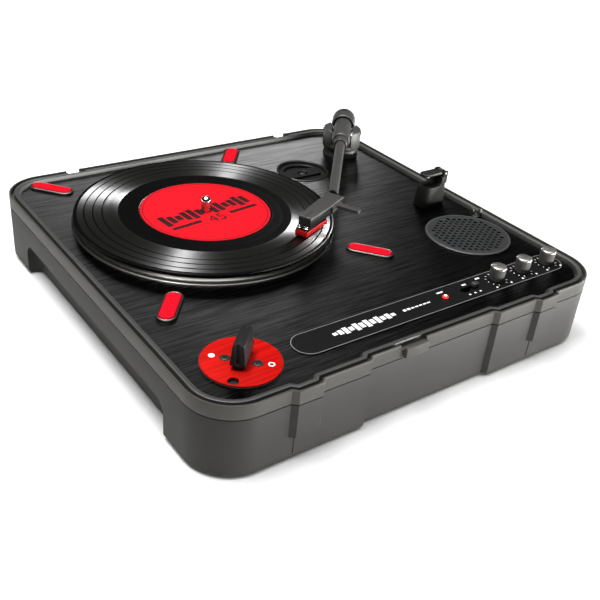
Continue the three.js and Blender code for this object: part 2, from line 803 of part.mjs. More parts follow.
add('speed_slider', join(
  box(SLIDER_X - 2.1, SLIDER_X + 2.1, PANEL_Y - 1.8, PANEL_Y + 1.8, DECK_Z + 0.8, DECK_Z + 3.6),
  box(SLIDER_X - 1.5, SLIDER_X + 1.5, PANEL_Y - 1.6, PANEL_Y + 1.6, DECK_Z - 5, DECK_Z + 1.2),
), darkSilver);

add('power_led', turned([
  [0, DECK_Z - 3],
  [1.8, DECK_Z - 3],
  [1.8, DECK_Z + 0.6],
  [1.2, DECK_Z + 1.2],
  [0, DECK_Z + 1.5],
], [LED_X, PANEL_Y], 14), ledRed);

// ---------------------------------------------------------------- speaker
const holePitch = 6.2;
const holeR = 1.9;
function grilleHoles() {
  const holes = [];
  for (let row = -5; row <= 5; row += 1) {
    for (let col = -5; col <= 5; col += 1) {
      const x = (col + (row % 2 === 0 ? 0 : 0.5)) * holePitch;
      const y = row * holePitch * Math.sin(rad(60));
      if (Math.hypot(x, y) < 25.3) holes.push(circlePoints(holeR, 4, [x, y]));
    }
  }
  return holes;
}
const grille = new THREE.Group();
grille.position.set(SPEAKER[0], SPEAKER[1], 0);
player.add(grille);
add('speaker_grille', plate(
  circlePoints(GRILLE_R, 36), DECK_Z + LAID, DECK_Z + 1.2, grilleHoles(),
), caseGrey, grille);

add('speaker_frame', turned([
  [8, 22.4],
  [13, 22.4],
  [25.5, 41],
  [30.6, 41],
  [30.6, 43],
  [24, 43],
  [11.5, 24.4],
  [8, 24.4],
  [8, 22.4],
], SPEAKER, 24), blackPlastic);
add('speaker_cone', turned([
  [0, 31.3],
  [7, 29.6],
  [23, 41.8],
  [23.6, 43],
  [21.6, 43],
  [7, 31.4],
  [0, 33],
], SPEAKER, 24), paperCone);
add('speaker_magnet', disc(SPEAKER, 17, 10, 22, 28), steel);

// ---------------------------------------------------------------- inside and underneath
add('circuit_board', join(
  box(25, 134, -132, -96, 31, 32.6),
  ...KNOB_X.map((x) => box(x - 7, x + 7, PANEL_Y - 7, PANEL_Y + 7, 32.4, 38.4)),
  box(48, 66, PANEL_Y - 4, PANEL_Y + 4, 32.4, 39),
  box(LED_X - 3, LED_X + 3, PANEL_Y - 3, PANEL_Y + 3, 32.4, 41),
), boardGreen);

// two line sockets that reach the case's back face, then the headphone and power sockets
const SOCKETS = [
  { x: -84, radius: 4.2, hole: 1.7, recess: 0, depth: 2 },
  { x: -71, radius: 4.2, hole: 1.7, recess: 0, depth: 2 },
  { x: -58, radius: 3.6, hole: 1.8, recess: 1.6, depth: 1.8 },
  { x: -36, radius: 5, hole: 1.9, recess: 1.6, depth: 1.8 },
];
const SOCKET_Z = 22;
const socketBody = ({ x, radius, recess }) => (
  cylinderY(x, BACK_Y - 4, BACK_Y - recess, SOCKET_Z, radius, 20)
);
const socketHole = ({ x, hole, recess, depth }) => (
  cylinderY(x, BACK_Y - recess - depth, BACK_Y + 5, SOCKET_Z, hole, 12)
);
add('jack_plate', cut(
  join(box(-94, -26, BACK_Y - 4.4, BACK_Y - 2.8, 10, 34), ...SOCKETS.map(socketBody)),
  ...SOCKETS.map(socketHole),
), blackPlastic);

add('battery_cover', box(
  BATTERY.x0 + GAP, BATTERY.x1 - GAP, BATTERY.y0 + GAP, BATTERY.y1 - GAP, FLOOR_GAP + LAID, FLOOR_GAP + WALL,
), shellGrey);

FOOT_XY.forEach((center, i) => {
  add(`foot_${i + 1}`, turned([
    [0, 0],
    [8, 0],
    [8.6, 0.6],
    [8.6, FLOOR_GAP - 0.1],
    [0, FLOOR_GAP - 0.1],
  ], center, 18), rubber);
});

export default player;
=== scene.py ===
"""A portable record player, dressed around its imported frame. Sizes inside the helpers are millimetres."""

import json
import math

import bmesh
import bpy
from mathutils import Matrix, Vector

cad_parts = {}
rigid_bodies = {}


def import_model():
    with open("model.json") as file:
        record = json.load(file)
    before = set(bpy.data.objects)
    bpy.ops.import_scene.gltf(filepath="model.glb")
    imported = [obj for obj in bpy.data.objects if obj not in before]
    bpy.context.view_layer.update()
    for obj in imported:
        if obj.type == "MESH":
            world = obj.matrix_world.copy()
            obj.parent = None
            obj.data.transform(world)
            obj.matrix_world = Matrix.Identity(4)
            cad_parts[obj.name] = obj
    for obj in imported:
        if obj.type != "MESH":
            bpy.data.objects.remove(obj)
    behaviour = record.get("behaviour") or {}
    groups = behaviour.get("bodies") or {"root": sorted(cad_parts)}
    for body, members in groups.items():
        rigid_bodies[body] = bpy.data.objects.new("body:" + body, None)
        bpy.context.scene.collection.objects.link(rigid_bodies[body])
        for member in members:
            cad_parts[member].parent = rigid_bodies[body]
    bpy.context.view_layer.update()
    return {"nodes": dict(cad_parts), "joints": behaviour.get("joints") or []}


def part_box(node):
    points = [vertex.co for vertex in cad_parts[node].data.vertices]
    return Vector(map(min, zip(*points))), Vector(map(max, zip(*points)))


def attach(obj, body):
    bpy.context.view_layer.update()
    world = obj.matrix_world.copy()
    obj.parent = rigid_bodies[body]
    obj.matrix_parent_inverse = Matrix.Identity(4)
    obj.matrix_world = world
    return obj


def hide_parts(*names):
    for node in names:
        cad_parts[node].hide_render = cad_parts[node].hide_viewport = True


MM = 0.001
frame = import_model()


# ---- frame places
def node_box(name):
    """Lowest and highest corner of a CAD node, in mm."""
    low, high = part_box(name)
    return low / MM, high / MM


def node_center(name):
    low, high = node_box(name)
    return (low + high) / 2


def joint(name):
    return next(j for j in frame["joints"] if j["name"] == name)


SHELL_LOW, SHELL_HIGH = node_box("lower_shell")
FRAME_LOW, FRAME_HIGH = node_box("upper_frame")
DECK_Z = node_box("deck_plate")[1].z
RIM_Z = FRAME_HIGH.z
SIDE_X = SHELL_HIGH.x
BACK_Y = SHELL_HIGH.y
STEP = 2.9  # depth of the steps in the front
FRONT_Y = SHELL_LOW.y + STEP
CORNER_R = 28
BUMP_X = (84.1, 99.1)  # where the two standing blocks on the front begin and end, from the middle
BUMP_Z = 17.5  # height of their lower ends
RECESS_X = 46.8  # half the width of the set-back middle of the front
LIP = 1.4  # the top of the case, from its edge inwards: lip, groove, bezel
GROOVE = 2.0
BEZEL = 2.9
BEZEL_INNER = LIP + GROOVE + BEZEL
WALL = 2.5
PLATTER = node_center("platter")
SPEAKER = node_center("speaker_grille")
SWITCH = node_center("switch_disc")
ADAPTER = node_center("adapter_cup")
PANEL_LOW, PANEL_HIGH = node_box("control_inlay")
PANEL_Y = (PANEL_LOW.y + PANEL_HIGH.y) / 2
PRINT_Z = PANEL_HIGH.z  # printed marks lie on the control panel
LABEL_Z = node_box("record_label")[1].z


# ---- outlines
def arc(center, radius, start, end, steps):
    """Points along an arc, angles in degrees."""
    points = []
    for i in range(steps + 1):
        angle = math.radians(start + (end - start) * i / steps)
        points.append((center[0] + radius * math.cos(angle), center[1] + radius * math.sin(angle)))
    return points


def circle(radius, center=(0, 0), steps=48):
    return arc(center, radius, 0, 360, steps)[:-1]


def stadium(half, radius, center=(0, 0), steps=16):
    """A slot with round ends along X; half is half the distance between the ends' centres."""
    x, y = center
    return arc((x + half, y), radius, -90, 90, steps) + arc((x - half, y), radius, 90, 270, steps)


def rectangle(x, y, wide, deep):
    """A rectangle about its middle."""
    return [
        (x - wide / 2, y - deep / 2),
        (x + wide / 2, y - deep / 2),
        (x + wide / 2, y + deep / 2),
        (x - wide / 2, y + deep / 2),
    ]


def dome(radius, height, base, start, end, step):
    """A profile up a dome that stands on base, between two angles above its edge."""
    return [
        (radius * math.cos(math.radians(a)), base + height * math.sin(math.radians(a)))
        for a in range(start, end, step)
    ]


def case_plan(inset, bump=STEP):
    """The plan of the case moved inward by inset, with the two blocks on the front standing out by bump."""
    radius, steps = CORNER_R - inset, 20
    x = SIDE_X - CORNER_R
    slant = inset * math.tan(math.radians(22.5))
    level = FRONT_Y + inset
    left = [
        (-BUMP_X[1] - STEP + slant, level),
        (-BUMP_X[1] + slant, level - bump),
        (-BUMP_X[0] - slant, level - bump),
        (-BUMP_X[0] + STEP - slant, level),
        (-RECESS_X - STEP - slant, level),
        (-RECESS_X - slant, level + STEP),
    ]
    right = [(-px, py) for px, py in reversed(left)]
    return (
        arc((-x, FRONT_Y + CORNER_R), radius, 180, 270, steps)
        + left
        + right
        + arc((x, FRONT_Y + CORNER_R), radius, 270, 360, steps)
        + arc((x, BACK_Y - CORNER_R), radius, 0, 90, steps)
        + arc((-x, BACK_Y - CORNER_R), radius, 90, 180, steps)
    )


def at_height(points, z):
    return [(x, y, z) for x, y in points]


def levels(plan, profile):
    """Rings of a plan that depends on one number, such as its inset, for each (number, height)."""
    return [at_height(plan(number), z) for number, z in profile]


def above(base, profile):
    """A profile whose heights are counted from base."""
    return [(across, base + z) for across, z in profile]


# ---- meshes
def in_scene(thing):
    bpy.context.scene.collection.objects.link(thing)
    return thing


def object_from(name, vertices, faces, smooth=35):
    mesh = bpy.data.meshes.new(name)
    mesh.from_pydata([Vector(v) * MM for v in vertices], [], faces)
    return tidy(in_scene(bpy.data.objects.new(name, mesh)), smooth)


def tidy(piece, smooth=35):
    """Merges equal points, points the faces outward and smooths every edge flatter than the angle."""
    mesh = piece.data
    work = bmesh.new()
    work.from_mesh(mesh)
    bmesh.ops.remove_doubles(work, verts=work.verts, dist=1e-6)
    bmesh.ops.dissolve_degenerate(work, dist=1e-7, edges=work.edges)
    bmesh.ops.recalc_face_normals(work, faces=work.faces)
    work.to_mesh(mesh)
    work.free()
    mesh.shade_smooth()
    mesh.set_sharp_from_angle(angle=math.radians(smooth))
    return piece


def loft(name, rings, closed=False, smooth=35):
    """A skin over rings that all have the same number of points; closed joins the last ring to the first."""
    count = len(rings[0])
    vertices = [point for ring in rings for point in ring]
    faces = []
    spans = len(rings) if closed else len(rings) - 1
    for s in range(spans):
        low = s * count
        high = ((s + 1) % len(rings)) * count
        for i in range(count):
            j = (i + 1) % count
            faces.append((low + i, low + j, high + j, high + i))
    if not closed:
        faces.append(tuple(reversed(range(count))))
        faces.append(tuple(range(len(vertices) - count, len(vertices))))
    return object_from(name, vertices, faces, smooth)


def lathe(name, profile, center=(0, 0), steps=96, smooth=35):
    """A profile of (radius, z) turned about a vertical line; it starts and ends on the axis, or closes."""
    closed = profile[0] == profile[-1]
    points = profile[:-1] if closed else profile
    rings = [at_height(circle(max(r, 0.0005), center, steps), z) for r, z in points]
    return loft(name, rings, closed, smooth)


def plate(name, outlines, z0, z1, bevel):
    """A flat plate with rounded edges: the first outline is its edge, and the others are holes."""
    curve = bpy.data.curves.new(name, "CURVE")
    curve.dimensions = "2D"
    curve.fill_mode = "BOTH"
    curve.extrude = ((z1 - z0) / 2 - bevel) * MM
    curve.bevel_depth = bevel * MM
    curve.bevel_resolution = 2
    curve.offset = -bevel * MM
    for outline in outlines:
        spline = curve.splines.new("POLY")
        spline.points.add(len(outline) - 1)
        for point, (x, y) in zip(spline.points, outline):
            point.co = (x * MM, y * MM, 0, 1)
        spline.use_cyclic_u = True
    piece = piece_from_curve(name, curve)
    return tidy(moved(piece, shift(z=(z0 + z1) / 2)))


def piece_from_curve(name, curve):
    source = bpy.data.objects.new(name + "_curve", curve)
    mesh = bpy.data.meshes.new_from_object(source)
    mesh.name = name
    bpy.data.objects.remove(source)
    bpy.data.curves.remove(curve)
    return in_scene(bpy.data.objects.new(name, mesh))


def block(name, low, high, bevel):
    """A box with rounded edges."""
    xs, ys, zs = zip(low, high)
    vertices = [(x, y, z) for z in zs for y in ys for x in xs]
    faces = [(0, 2, 3, 1), (4, 5, 7, 6), (0, 1, 5, 4), (2, 6, 7, 3), (0, 4, 6, 2), (1, 3, 7, 5)]
    return soften(object_from(name, vertices, faces), bevel)


def rod(name, profile, steps=64):
    """A profile of (x, radius) turned about the X axis."""
    return moved(lathe(name, [(r, x) for x, r in profile], steps=steps), turn(90, "Y"))


def pin(name, half, radius, steps):
    """A plain round pin along Y, about the origin."""
    return moved(rod(name, [(-half, 0), (-half, radius), (half, radius), (half, 0)], steps), turn(90))


def soften(piece, width, steps=3, angle=30):
    """Rounds the edges sharper than the angle."""
    if width > 0:
        bevel = piece.modifiers.new("round_edges", "BEVEL")
        bevel.width = width * MM
        bevel.segments = steps
        bevel.limit_method = "ANGLE"
        bevel.angle_limit = math.radians(angle)
        bevel.use_clamp_overlap = True
        settle(piece)
    return piece


def cut(piece, *tools, operation="DIFFERENCE"):
    for tool in tools:
        step = piece.modifiers.new("cut", "BOOLEAN")
        step.operation = operation
        step.solver = "EXACT"
        step.object = tool
        settle(piece)
        bpy.data.objects.remove(tool)
    return piece


def join(piece, *others):
    return cut(piece, *others, operation="UNION")


def settle(piece):
    """Bakes the modifiers into the mesh."""
    bpy.context.view_layer.update()
    graph = bpy.context.evaluated_depsgraph_get()
    mesh = bpy.data.meshes.new_from_object(piece.evaluated_get(graph))
    piece.modifiers.clear()
    piece.data = mesh
    return tidy(piece)


def flat_tops(piece):
    """Keeps level faces truly flat, so that their rounded edges don't bend the light on them."""
    for face in piece.data.polygons:
        if abs(face.normal.z) > 0.999:
            face.use_smooth = False
    return piece


def moved(piece, matrix):
    piece.data.transform(matrix)
    return piece


def shift(x=0, y=0, z=0):
    return Matrix.Translation(Vector((x, y, z)) * MM)


def turn(degrees, axis="Z"):
    return Matrix.Rotation(math.radians(degrees), 4, axis)


def dress(piece, body, material, replaces=()):
    """Gives a piece its material and its body, and hides the CAD nodes that it stands for."""
    piece.data.materials.clear()
    piece.data.materials.append(material)
    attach(piece, body)
    if replaces:
        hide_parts(*replaces)
    return piece


# ---- material helpers
def shader(name, color, roughness, metallic=0.0, **values):
    """A material with a Principled shader; values are more of its sockets, by name."""
    material = bpy.data.materials.new(name)
    material.use_nodes = True
    surface = surface_of(material)
    surface.inputs["Base Color"].default_value = (*color, 1)
    surface.inputs["Roughness"].default_value = roughness
    surface.inputs["Metallic"].default_value = metallic
    for socket, value in values.items():
        surface.inputs[socket.replace("_", " ")].default_value = value
    return material


def surface_of(material):
    return material.node_tree.nodes["Principled BSDF"]


def node(material, kind, links=(), **settings):
    """Adds a node; settings are its properties or, with a leading capital, its inputs."""
    made = material.node_tree.nodes.new(kind)
    for key, value in settings.items():
        if key[0].isupper():
            made.inputs[key.replace("_", " ")].default_value = value
        else:
            setattr(made, key, value)
    for socket, source in links:
        material.node_tree.links.new(made.inputs[socket], source)
    return made


def connect(material, socket, source):
    material.node_tree.links.new(surface_of(material).inputs[socket], source)


def stretched_noise(material, stretch, detail=3.0, offset=(0, 0, 0)):
    """Noise in the object's own space, stretched by the given frequencies along X, Y and Z, per metre."""
    place = node(material, "ShaderNodeTexCoord")
    mapped = node(material, "ShaderNodeMapping", [("Vector", place.outputs["Object"])])
    mapped.inputs["Scale"].default_value = stretch
    mapped.inputs["Location"].default_value = offset
    source = [("Vector", mapped.outputs["Vector"])]
    noise = node(material, "ShaderNodeTexNoise", source, Detail=detail, Scale=1.0, Roughness=0.6)
    return noise.outputs["Fac"]


def remap(material, source, low, high, from_low=0.3, from_high=0.7):
    """The source's middle range, where noise mostly lies, spread over low to high."""
    ranged = node(material, "ShaderNodeMapRange", [("Value", source)])
    ranged.inputs["From Min"].default_value = from_low
    ranged.inputs["From Max"].default_value = from_high
    ranged.inputs["To Min"].default_value = low
    ranged.inputs["To Max"].default_value = high
    return ranged.outputs["Result"]


def tint(material, factor, first, second):
    """Base colour between two, by a factor."""
    mix = node(material, "ShaderNodeMix", [(0, factor)], data_type="RGBA")
    mix.inputs[6].default_value = (*first, 1)
    mix.inputs[7].default_value = (*second, 1)
    connect(material, "Base Color", mix.outputs[2])


def shade(color, factor):
    return tuple(min(1.0, c * factor) for c in color)


def bump(material, source, strength, distance):
    made = node(material, "ShaderNodeBump", [("Height", source)], Strength=strength, Distance=distance)
    connect(material, "Normal", made.outputs["Normal"])


def tangent(material, axis):
    """Turns the stretched gloss about an axis."""
    around = node(material, "ShaderNodeTangent", direction_type="RADIAL", axis=axis)
    connect(material, "Tangent", around.outputs["Tangent"])


# ---- kinds of surface
def moulded(name, color, roughness=0.5, grain=0.12, gloss=0.15):
    """Moulded plastic with a fine spark-eroded grain and slow changes of tone."""
    material = shader(name, color, roughness, Specular_IOR_Level=gloss)
    slow = stretched_noise(material, (14, 14, 14), 2)
    tint(material, remap(material, slow, 0, 1), shade(color, 0.92), shade(color, 1.08))
    fine = stretched_noise(material, (2600, 2600, 2600), 2)
    connect(material, "Roughness", remap(material, fine, roughness - 0.06, roughness + 0.08))
    bump(material, fine, grain, 0.00008)
    return material


def brushed(name, dark, light, roughness, metallic, along, spread, grain, aniso, **values):
    """Metal brushed along X: long streaks change its tone, gloss and surface. A small spread of
    the noise makes them stand out, and aniso makes it shine across them."""
    material = shader(name, dark, roughness, metallic, Anisotropic=aniso, **values)
    broad = stretched_noise(material, (along[0] * 0.6, along[1] * 0.4, along[2] * 0.4), 3)
    fine = stretched_noise(material, along, 4, offset=(3, 7, 1))
    both = node(material, "ShaderNodeMath", [(0, broad), (1, fine)], operation="ADD").outputs[0]
    tint(material, remap(material, both, 0, 1, 1 - spread, 1 + spread), dark, light)
    connect(material, "Roughness", remap(material, fine, roughness - 0.04, roughness + 0.05))
    bump(material, both, grain, 0.00012)
    tangent(material, "X")
    return material


def satin_metal(name, color, roughness=0.35, metallic=0.85):
    """Fine blasted metal with faint tone changes and small rubbed spots."""
    material = shader(name, color, roughness, metallic)
    slow = stretched_noise(material, (35, 35, 35), 2)
    tint(material, remap(material, slow, 0, 1), shade(color, 0.9), shade(color, 1.1))
    fine = stretched_noise(material, (1800, 1800, 1800), 2)
    connect(material, "Roughness", remap(material, fine, roughness - 0.05, roughness + 0.07))
    bump(material, fine, 0.03, 0.00003)
    return material


def turned_metal(name, color, roughness):
    """Metal with circular turning marks about the vertical."""
    material = shader(name, color, roughness, 1.0, Anisotropic=0.7, Anisotropic_Rotation=0.25)
    fine = stretched_noise(material, (30, 30, 6000), 3)
    connect(material, "Roughness", remap(material, fine, roughness - 0.04, roughness + 0.06))
    bump(material, fine, 0.05, 0.00004)
    tangent(material, "Z")
    return material


def felt(name, color, fibre_light):
    """A dull soft surface with short fibres, for felt, cone paper and textured rubber."""
    material = shader(name, color, 0.9, Specular_IOR_Level=0.08)
    fibres = stretched_noise(material, (700, 1500, 900), 5)
    tint(material, remap(material, fibres, 0, 1), color, fibre_light)
    bump(material, fibres, 0.35, 0.0002)
    return material


def paper(name, color, ink):
    material = shader(name, color, 0.85, Specular_IOR_Level=0.08)
    fibres = stretched_noise(material, (900, 900, 900), 4)
    tint(material, remap(material, fibres, 0, 1), color, ink)
    bump(material, fibres, 0.08, 0.00005)
    return material


def glowing(name, color, strength):
    return shader(name, color, 0.25, Emission_Color=(*color, 1), Emission_Strength=strength)


def radius_from(material, center):
    """Distance from a vertical line, in metres."""
    place = node(material, "ShaderNodeTexCoord")
    mapped = node(material, "ShaderNodeMapping", [("Vector", place.outputs["Object"])])
    mapped.inputs["Location"].default_value = (-center[0] * MM, -center[1] * MM, 0)
    mapped.inputs["Scale"].default_value = (1, 1, 0)
    length = node(material, "ShaderNodeVectorMath", [(0, mapped.outputs["Vector"])], operation="LENGTH")
    return length.outputs["Value"]


def pressed_vinyl(name, center):
    """Record vinyl: its grooves spread the light outward, and their loudness shows as rings."""
    gloss = {"Specular_IOR_Level": 1.0, "IOR": 1.75, "Anisotropic": 1.0, "Anisotropic_Rotation": 0.25}
    material = shader(name, (0.006, 0.006, 0.0055), 0.5, **gloss)
    radius = [("W", radius_from(material, center))]
    grooves = node(material, "ShaderNodeTexNoise", radius, noise_dimensions="1D", Scale=900.0, Detail=6.0)
    loud = node(material, "ShaderNodeTexNoise", radius, noise_dimensions="1D", Scale=260.0, Detail=3.0)
    connect(material, "Roughness", remap(material, loud.outputs["Fac"], 0.36, 0.46))
    tone = remap(material, grooves.outputs["Fac"], 0, 1)
    tint(material, tone, (0.005, 0.005, 0.0045), (0.009, 0.009, 0.008))
    bump(material, grooves.outputs["Fac"], 0.12, 0.0002)
    tangent(material, "Z")
    return material


# ---- materials
UPPER_CASE = moulded("upper_case", (0.055, 0.053, 0.048), 0.5)
LOWER_CASE = moulded("lower_case", (0.031, 0.030, 0.028), 0.55)
BEZEL_METAL = satin_metal("bezel_metal", (0.08, 0.08, 0.078), 0.5, 0.6)
DECK_METAL = brushed(
    "deck_metal", (0.008, 0.008, 0.008), (0.13, 0.13, 0.13), 0.33, 0.9, (50, 1700, 1700), 0.22, 0.3, 0.0
)
INLAY = moulded("inlay_black", (0.005, 0.005, 0.0055), 0.42, 0.05, 0.14)
BORDER = shader("border_grey", (0.16, 0.16, 0.16), 0.5)
WHITE_INK = moulded("white_ink", (0.85, 0.85, 0.85), 0.5, 0.03)
DARK_INK = moulded("dark_ink", (0.035, 0.006, 0.008), 0.5, 0.03)
DARK_METAL = satin_metal("dark_metal", (0.035, 0.035, 0.034), 0.35, 0.7)
BRIGHT = satin_metal("bright_trim", (0.15, 0.148, 0.14), 0.42, 1.0)
PLATTER_METAL = turned_metal("platter_metal", (0.50, 0.49, 0.46), 0.3)
TRIM_METAL = turned_metal("trim_metal", (0.34, 0.335, 0.32), 0.36)
RED_RUBBER = felt("red_rubber", (0.42, 0.0015, 0.008), (0.62, 0.004, 0.018))
BLACK_FELT = felt("black_felt", (0.008, 0.008, 0.008), (0.03, 0.03, 0.03))
RED_METAL = brushed(
    "red_metal", (0.22, 0.002, 0.0015), (0.62, 0.007, 0.004), 0.6, 0.0, (24, 900, 900), 0.4, 0.1, 0.5,
    Specular_IOR_Level=0.05,
)
BLACK = moulded("black_plastic", (0.012, 0.012, 0.012), 0.38, 0.08)
SOFT_BLACK = moulded("soft_black", (0.018, 0.018, 0.017), 0.5, 0.1)
EDGE_BLACK = moulded("edge_black", (0.024, 0.024, 0.023), 0.5, 0.06)
# Near-black used as painted shade: inside the switch plate's holes, in the gap round it, round the screw
# heads and under the grille's holes.
PAINTED_SHADE_BLACK = shader("painted_shade_black", (0.002, 0.002, 0.002), 0.8)
ARM_METAL = satin_metal("arm_metal", (0.072, 0.071, 0.068), 0.48, 0.6)
# Painted shade: a darker, duller copy of the knob metal for the knobs' sides, which stand turned from the
# light.
KNOB_SHADED_SIDE = satin_metal("knob_shaded_side", (0.11, 0.107, 0.1), 0.34, 0.1)
KNOB_METAL = satin_metal("knob_metal", (0.42, 0.41, 0.39), 0.34, 0.9)
POLISHED = satin_metal("polished_steel", (0.72, 0.72, 0.72), 0.13, 1.0)
RED_PLASTIC = moulded("stylus_red", (0.42, 0.006, 0.006), 0.36, 0.05)
LABEL_PAPER = paper("label_paper", (0.62, 0.006, 0.014), (0.56, 0.005, 0.012))
VINYL = pressed_vinyl("vinyl", PLATTER)
VINYL_LAND = moulded("vinyl_land", (0.002, 0.002, 0.002), 0.3, 0.01, 0.09)
POST_BLACK = moulded("post_black", (0.011, 0.011, 0.010), 0.42, 0.03, 0.06)
POST_METAL = satin_metal("post_metal", (0.035, 0.035, 0.034), 0.35, 0.6)
SCREW_GREY = satin_metal("screw_grey", (0.022, 0.022, 0.022), 0.5, 0.3)
RUBBER = moulded("rubber", (0.012, 0.012, 0.012), 0.75, 0.3)
GRILLE_METAL = satin_metal("grille_metal", (0.05, 0.051, 0.053), 0.45, 0.6)
CONE_PAPER = felt("cone_paper", (0.012, 0.012, 0.012), (0.03, 0.03, 0.03))
BOARD = moulded("circuit_board_green", (0.004, 0.026, 0.01), 0.5, 0.05)
LED = glowing("led_red", (1.0, 0.02, 0.015), 3.0)
LED_CORE = glowing("led_core", (1.0, 0.62, 0.58), 3.0)


# ---- case
def shell_rings():
    """Up the outside from the rounded bottom edge, over the top and down the inside of the wall."""
    top, bottom, fillet, steps = SHELL_HIGH.z, SHELL_LOW.z, 2.2, 6
    rings = []
    for k in range(steps + 1):
        angle = math.radians(90 * k / steps)
        plan = case_plan(fillet * (1 - math.sin(angle)), 0)
        rings.append(at_height(plan, bottom + fillet * (1 - math.cos(angle))))
    blocks_begin = [(0, BUMP_Z - 0.02), (0, BUMP_Z), (STEP - 0.3, BUMP_Z + 0.02)]
    blocks_begin += [(STEP, BUMP_Z + 0.3), (STEP, BUMP_Z + 0.32)]
    rings += levels(lambda bump: case_plan(0, bump), blocks_begin)
    rings += levels(case_plan, [(0, top - 0.35), (0.12, top - 0.1), (0.4, top)])
    inner_x = SIDE_X - 11  # the side walls are thick, to hold the finger recesses
    inside = [(max(-inner_x, min(inner_x, x)), y) for x, y in case_plan(WALL)]
    return rings + [at_height(inside, top), at_height(inside, bottom + WALL)]


def grip_tool(side):
    """A long finger recess in a side, scooped so that its inner edge is rounded."""
    half, top, radius, depth, scoop, steps = 98.5, 24.4, 9, 8.5, 5.5, 8
    outline = [(-half, -5), (half, -5)]
    outline += arc((half - radius, top - radius), radius, 0, 90, 12)
    outline += arc((-half + radius, top - radius), radius, 90, 180, 12)
    rings = []
    for k in range(steps + 1):
        angle = math.radians(90 * k / steps)
        pull = scoop * (1 - math.sin(angle))
        x = side * (SIDE_X - depth + scoop * (1 - math.cos(angle)))
        scale = (half - pull) / half
        rings.append([(x, y * scale, z - pull if z > 0 else z) for y, z in outline])
    rings.append([(side * (SIDE_X + 4), y, z) for y, z in outline])
    return loft("grip_tool", rings)


def lower_case():
    shell = loft("lower_case", shell_rings())
    low, high = node_box("jack_plate")
    margin = 2
    window_low = (low.x + margin, BACK_Y - 12, low.z + margin)
    window = block("window_tool", window_low, (high.x - margin, BACK_Y + 5, high.z - margin), 1.5)
    cut(shell, grip_tool(-1), grip_tool(1), window)
    dress(shell, "chassis", LOWER_CASE, ["lower_shell"])


HINGE_POCKET = (85.2, 98.5)  # where the pockets at the back begin and end, from the middle


def hinge_notches():
    """Tools for the two pockets at the back, where the dust cover's hinges go."""
    tools = []
    for side in (-1, 1):
        x = sorted((side * HINGE_POCKET[0], side * HINGE_POCKET[1]))
        low = (x[0], BACK_Y - 5.4, DECK_Z - 2.2)
        tools.append(block("notch_tool", low, (x[1], BACK_Y + 5, RIM_Z + 5), 0))
    return tools


def upper_case():
    base = FRAME_LOW.z
    groove_floor = DECK_Z - 0.8
    ledge = DECK_Z - 1.9
    groove_end = LIP + GROOVE + 0.6
    shelf = 7.5
    profile = [
        (0.3, base), (0.08, base + 0.08), (0, base + 0.3), (0, RIM_Z - 0.7), (0.1, RIM_Z - 0.3),
        (0.35, RIM_Z - 0.05), (0.7, RIM_Z), (LIP - 0.3, RIM_Z - 0.05), (LIP, RIM_Z - 0.4),
        (LIP, groove_floor), (groove_end, groove_floor), (groove_end, ledge), (shelf, ledge),
        (shelf, base + 1.8), (WALL, base + 1.8), (WALL, base),
    ]
    band = loft("upper_case", levels(case_plan, profile), closed=True)
    tab_low, tab_high = node_box("latch_tab")
    recess = FRONT_Y + STEP
    slot_high = (tab_high.x, recess + 2.3, RIM_Z + 5)
    slot = block("slot_tool", (tab_low.x - 2.2, recess - 2, DECK_Z - 0.4), slot_high, 0)
    cut(band, slot, *hinge_notches())
    dress(band, "chassis", UPPER_CASE, ["upper_frame"])
    lug = block("latch_lug", tab_low, tab_high, 0.5)
    dress(lug, "chassis", UPPER_CASE, ["latch_tab"])


def bezel():
    outer, inner = LIP + GROOVE, BEZEL_INNER
    low = DECK_Z - 1.4
    profile = [
        (outer, low), (outer, RIM_Z - 0.5), (outer + 0.12, RIM_Z - 0.2), (outer + 0.4, RIM_Z - 0.05),
        (outer + 0.6, RIM_Z - 0.05), (inner - 0.4, RIM_Z - 0.3), (inner - 0.15, RIM_Z - 0.5),
        (inner - 0.1, RIM_Z - 0.8), (inner - 0.1, low),
    ]
    strip = loft("deck_rim", levels(case_plan, profile), closed=True)
    cut(strip, *hinge_notches())
    dress(strip, "chassis", BEZEL_METAL, ["deck_bezel"])


def deck_edge():
    """The black strip that leads down from the bezel to the deck."""
    inner, low = BEZEL_INNER, DECK_Z - 1.4
    profile = [
        (inner - 0.05, low), (inner - 0.05, RIM_Z - 0.7), (inner + 0.25, RIM_Z - 0.75),
        (inner + 1.3, DECK_Z + 0.15), (inner + 1.3, DECK_Z + 0.02), (inner + 0.15, DECK_Z + 0.02),
        (inner + 0.15, low),
    ]
    edge = loft("deck_edge", levels(case_plan, profile), closed=True)
    cut(edge, *hinge_notches())
    dress(edge, "chassis", EDGE_BLACK)


def hinge_lugs():
    """Dark lugs in the pockets at the back, where the dust cover's hinges clip in."""
    middle, aside = 91.8, 4.6  # each stands to the right of its pocket's middle
    for i, side in enumerate((-1, 1)):
        x = side * middle + aside
        low = (x - 1.8, BACK_Y - 5.3, DECK_Z - 2)
        lug = block(f"hinge_lug_{i + 1}", low, (x + 1.8, BACK_Y - 1.2, RIM_Z + 0.6), 0.5)
        dress(lug, "chassis", SOFT_BLACK)


# ---- deck
KNOBS = ("volume_knob", "tone_knob", "pitch_knob")
SLIDER_STEP = 4.6  # between the three places of the speed slider
PLATTER_HOLE = 87.7
SWITCH_HOLE = 20.4
ADAPTER_HOLE = 19.4
SPEAKER_HOLE = 26
PAD_HALF = 10  # half the straight part of a support pad


def panel_holes():
    """Holes for the power light, the slider's path and the knobs' shafts."""
    slider = node_center("speed_slider")
    path = stadium(5.0, 2.2, (slider.x - SLIDER_STEP, slider.y), 8)
    shafts = [circle(3.3, node_center(name), 24) for name in KNOBS]
    return [circle(2.1, node_center("power_led"), 24), path, *shafts]


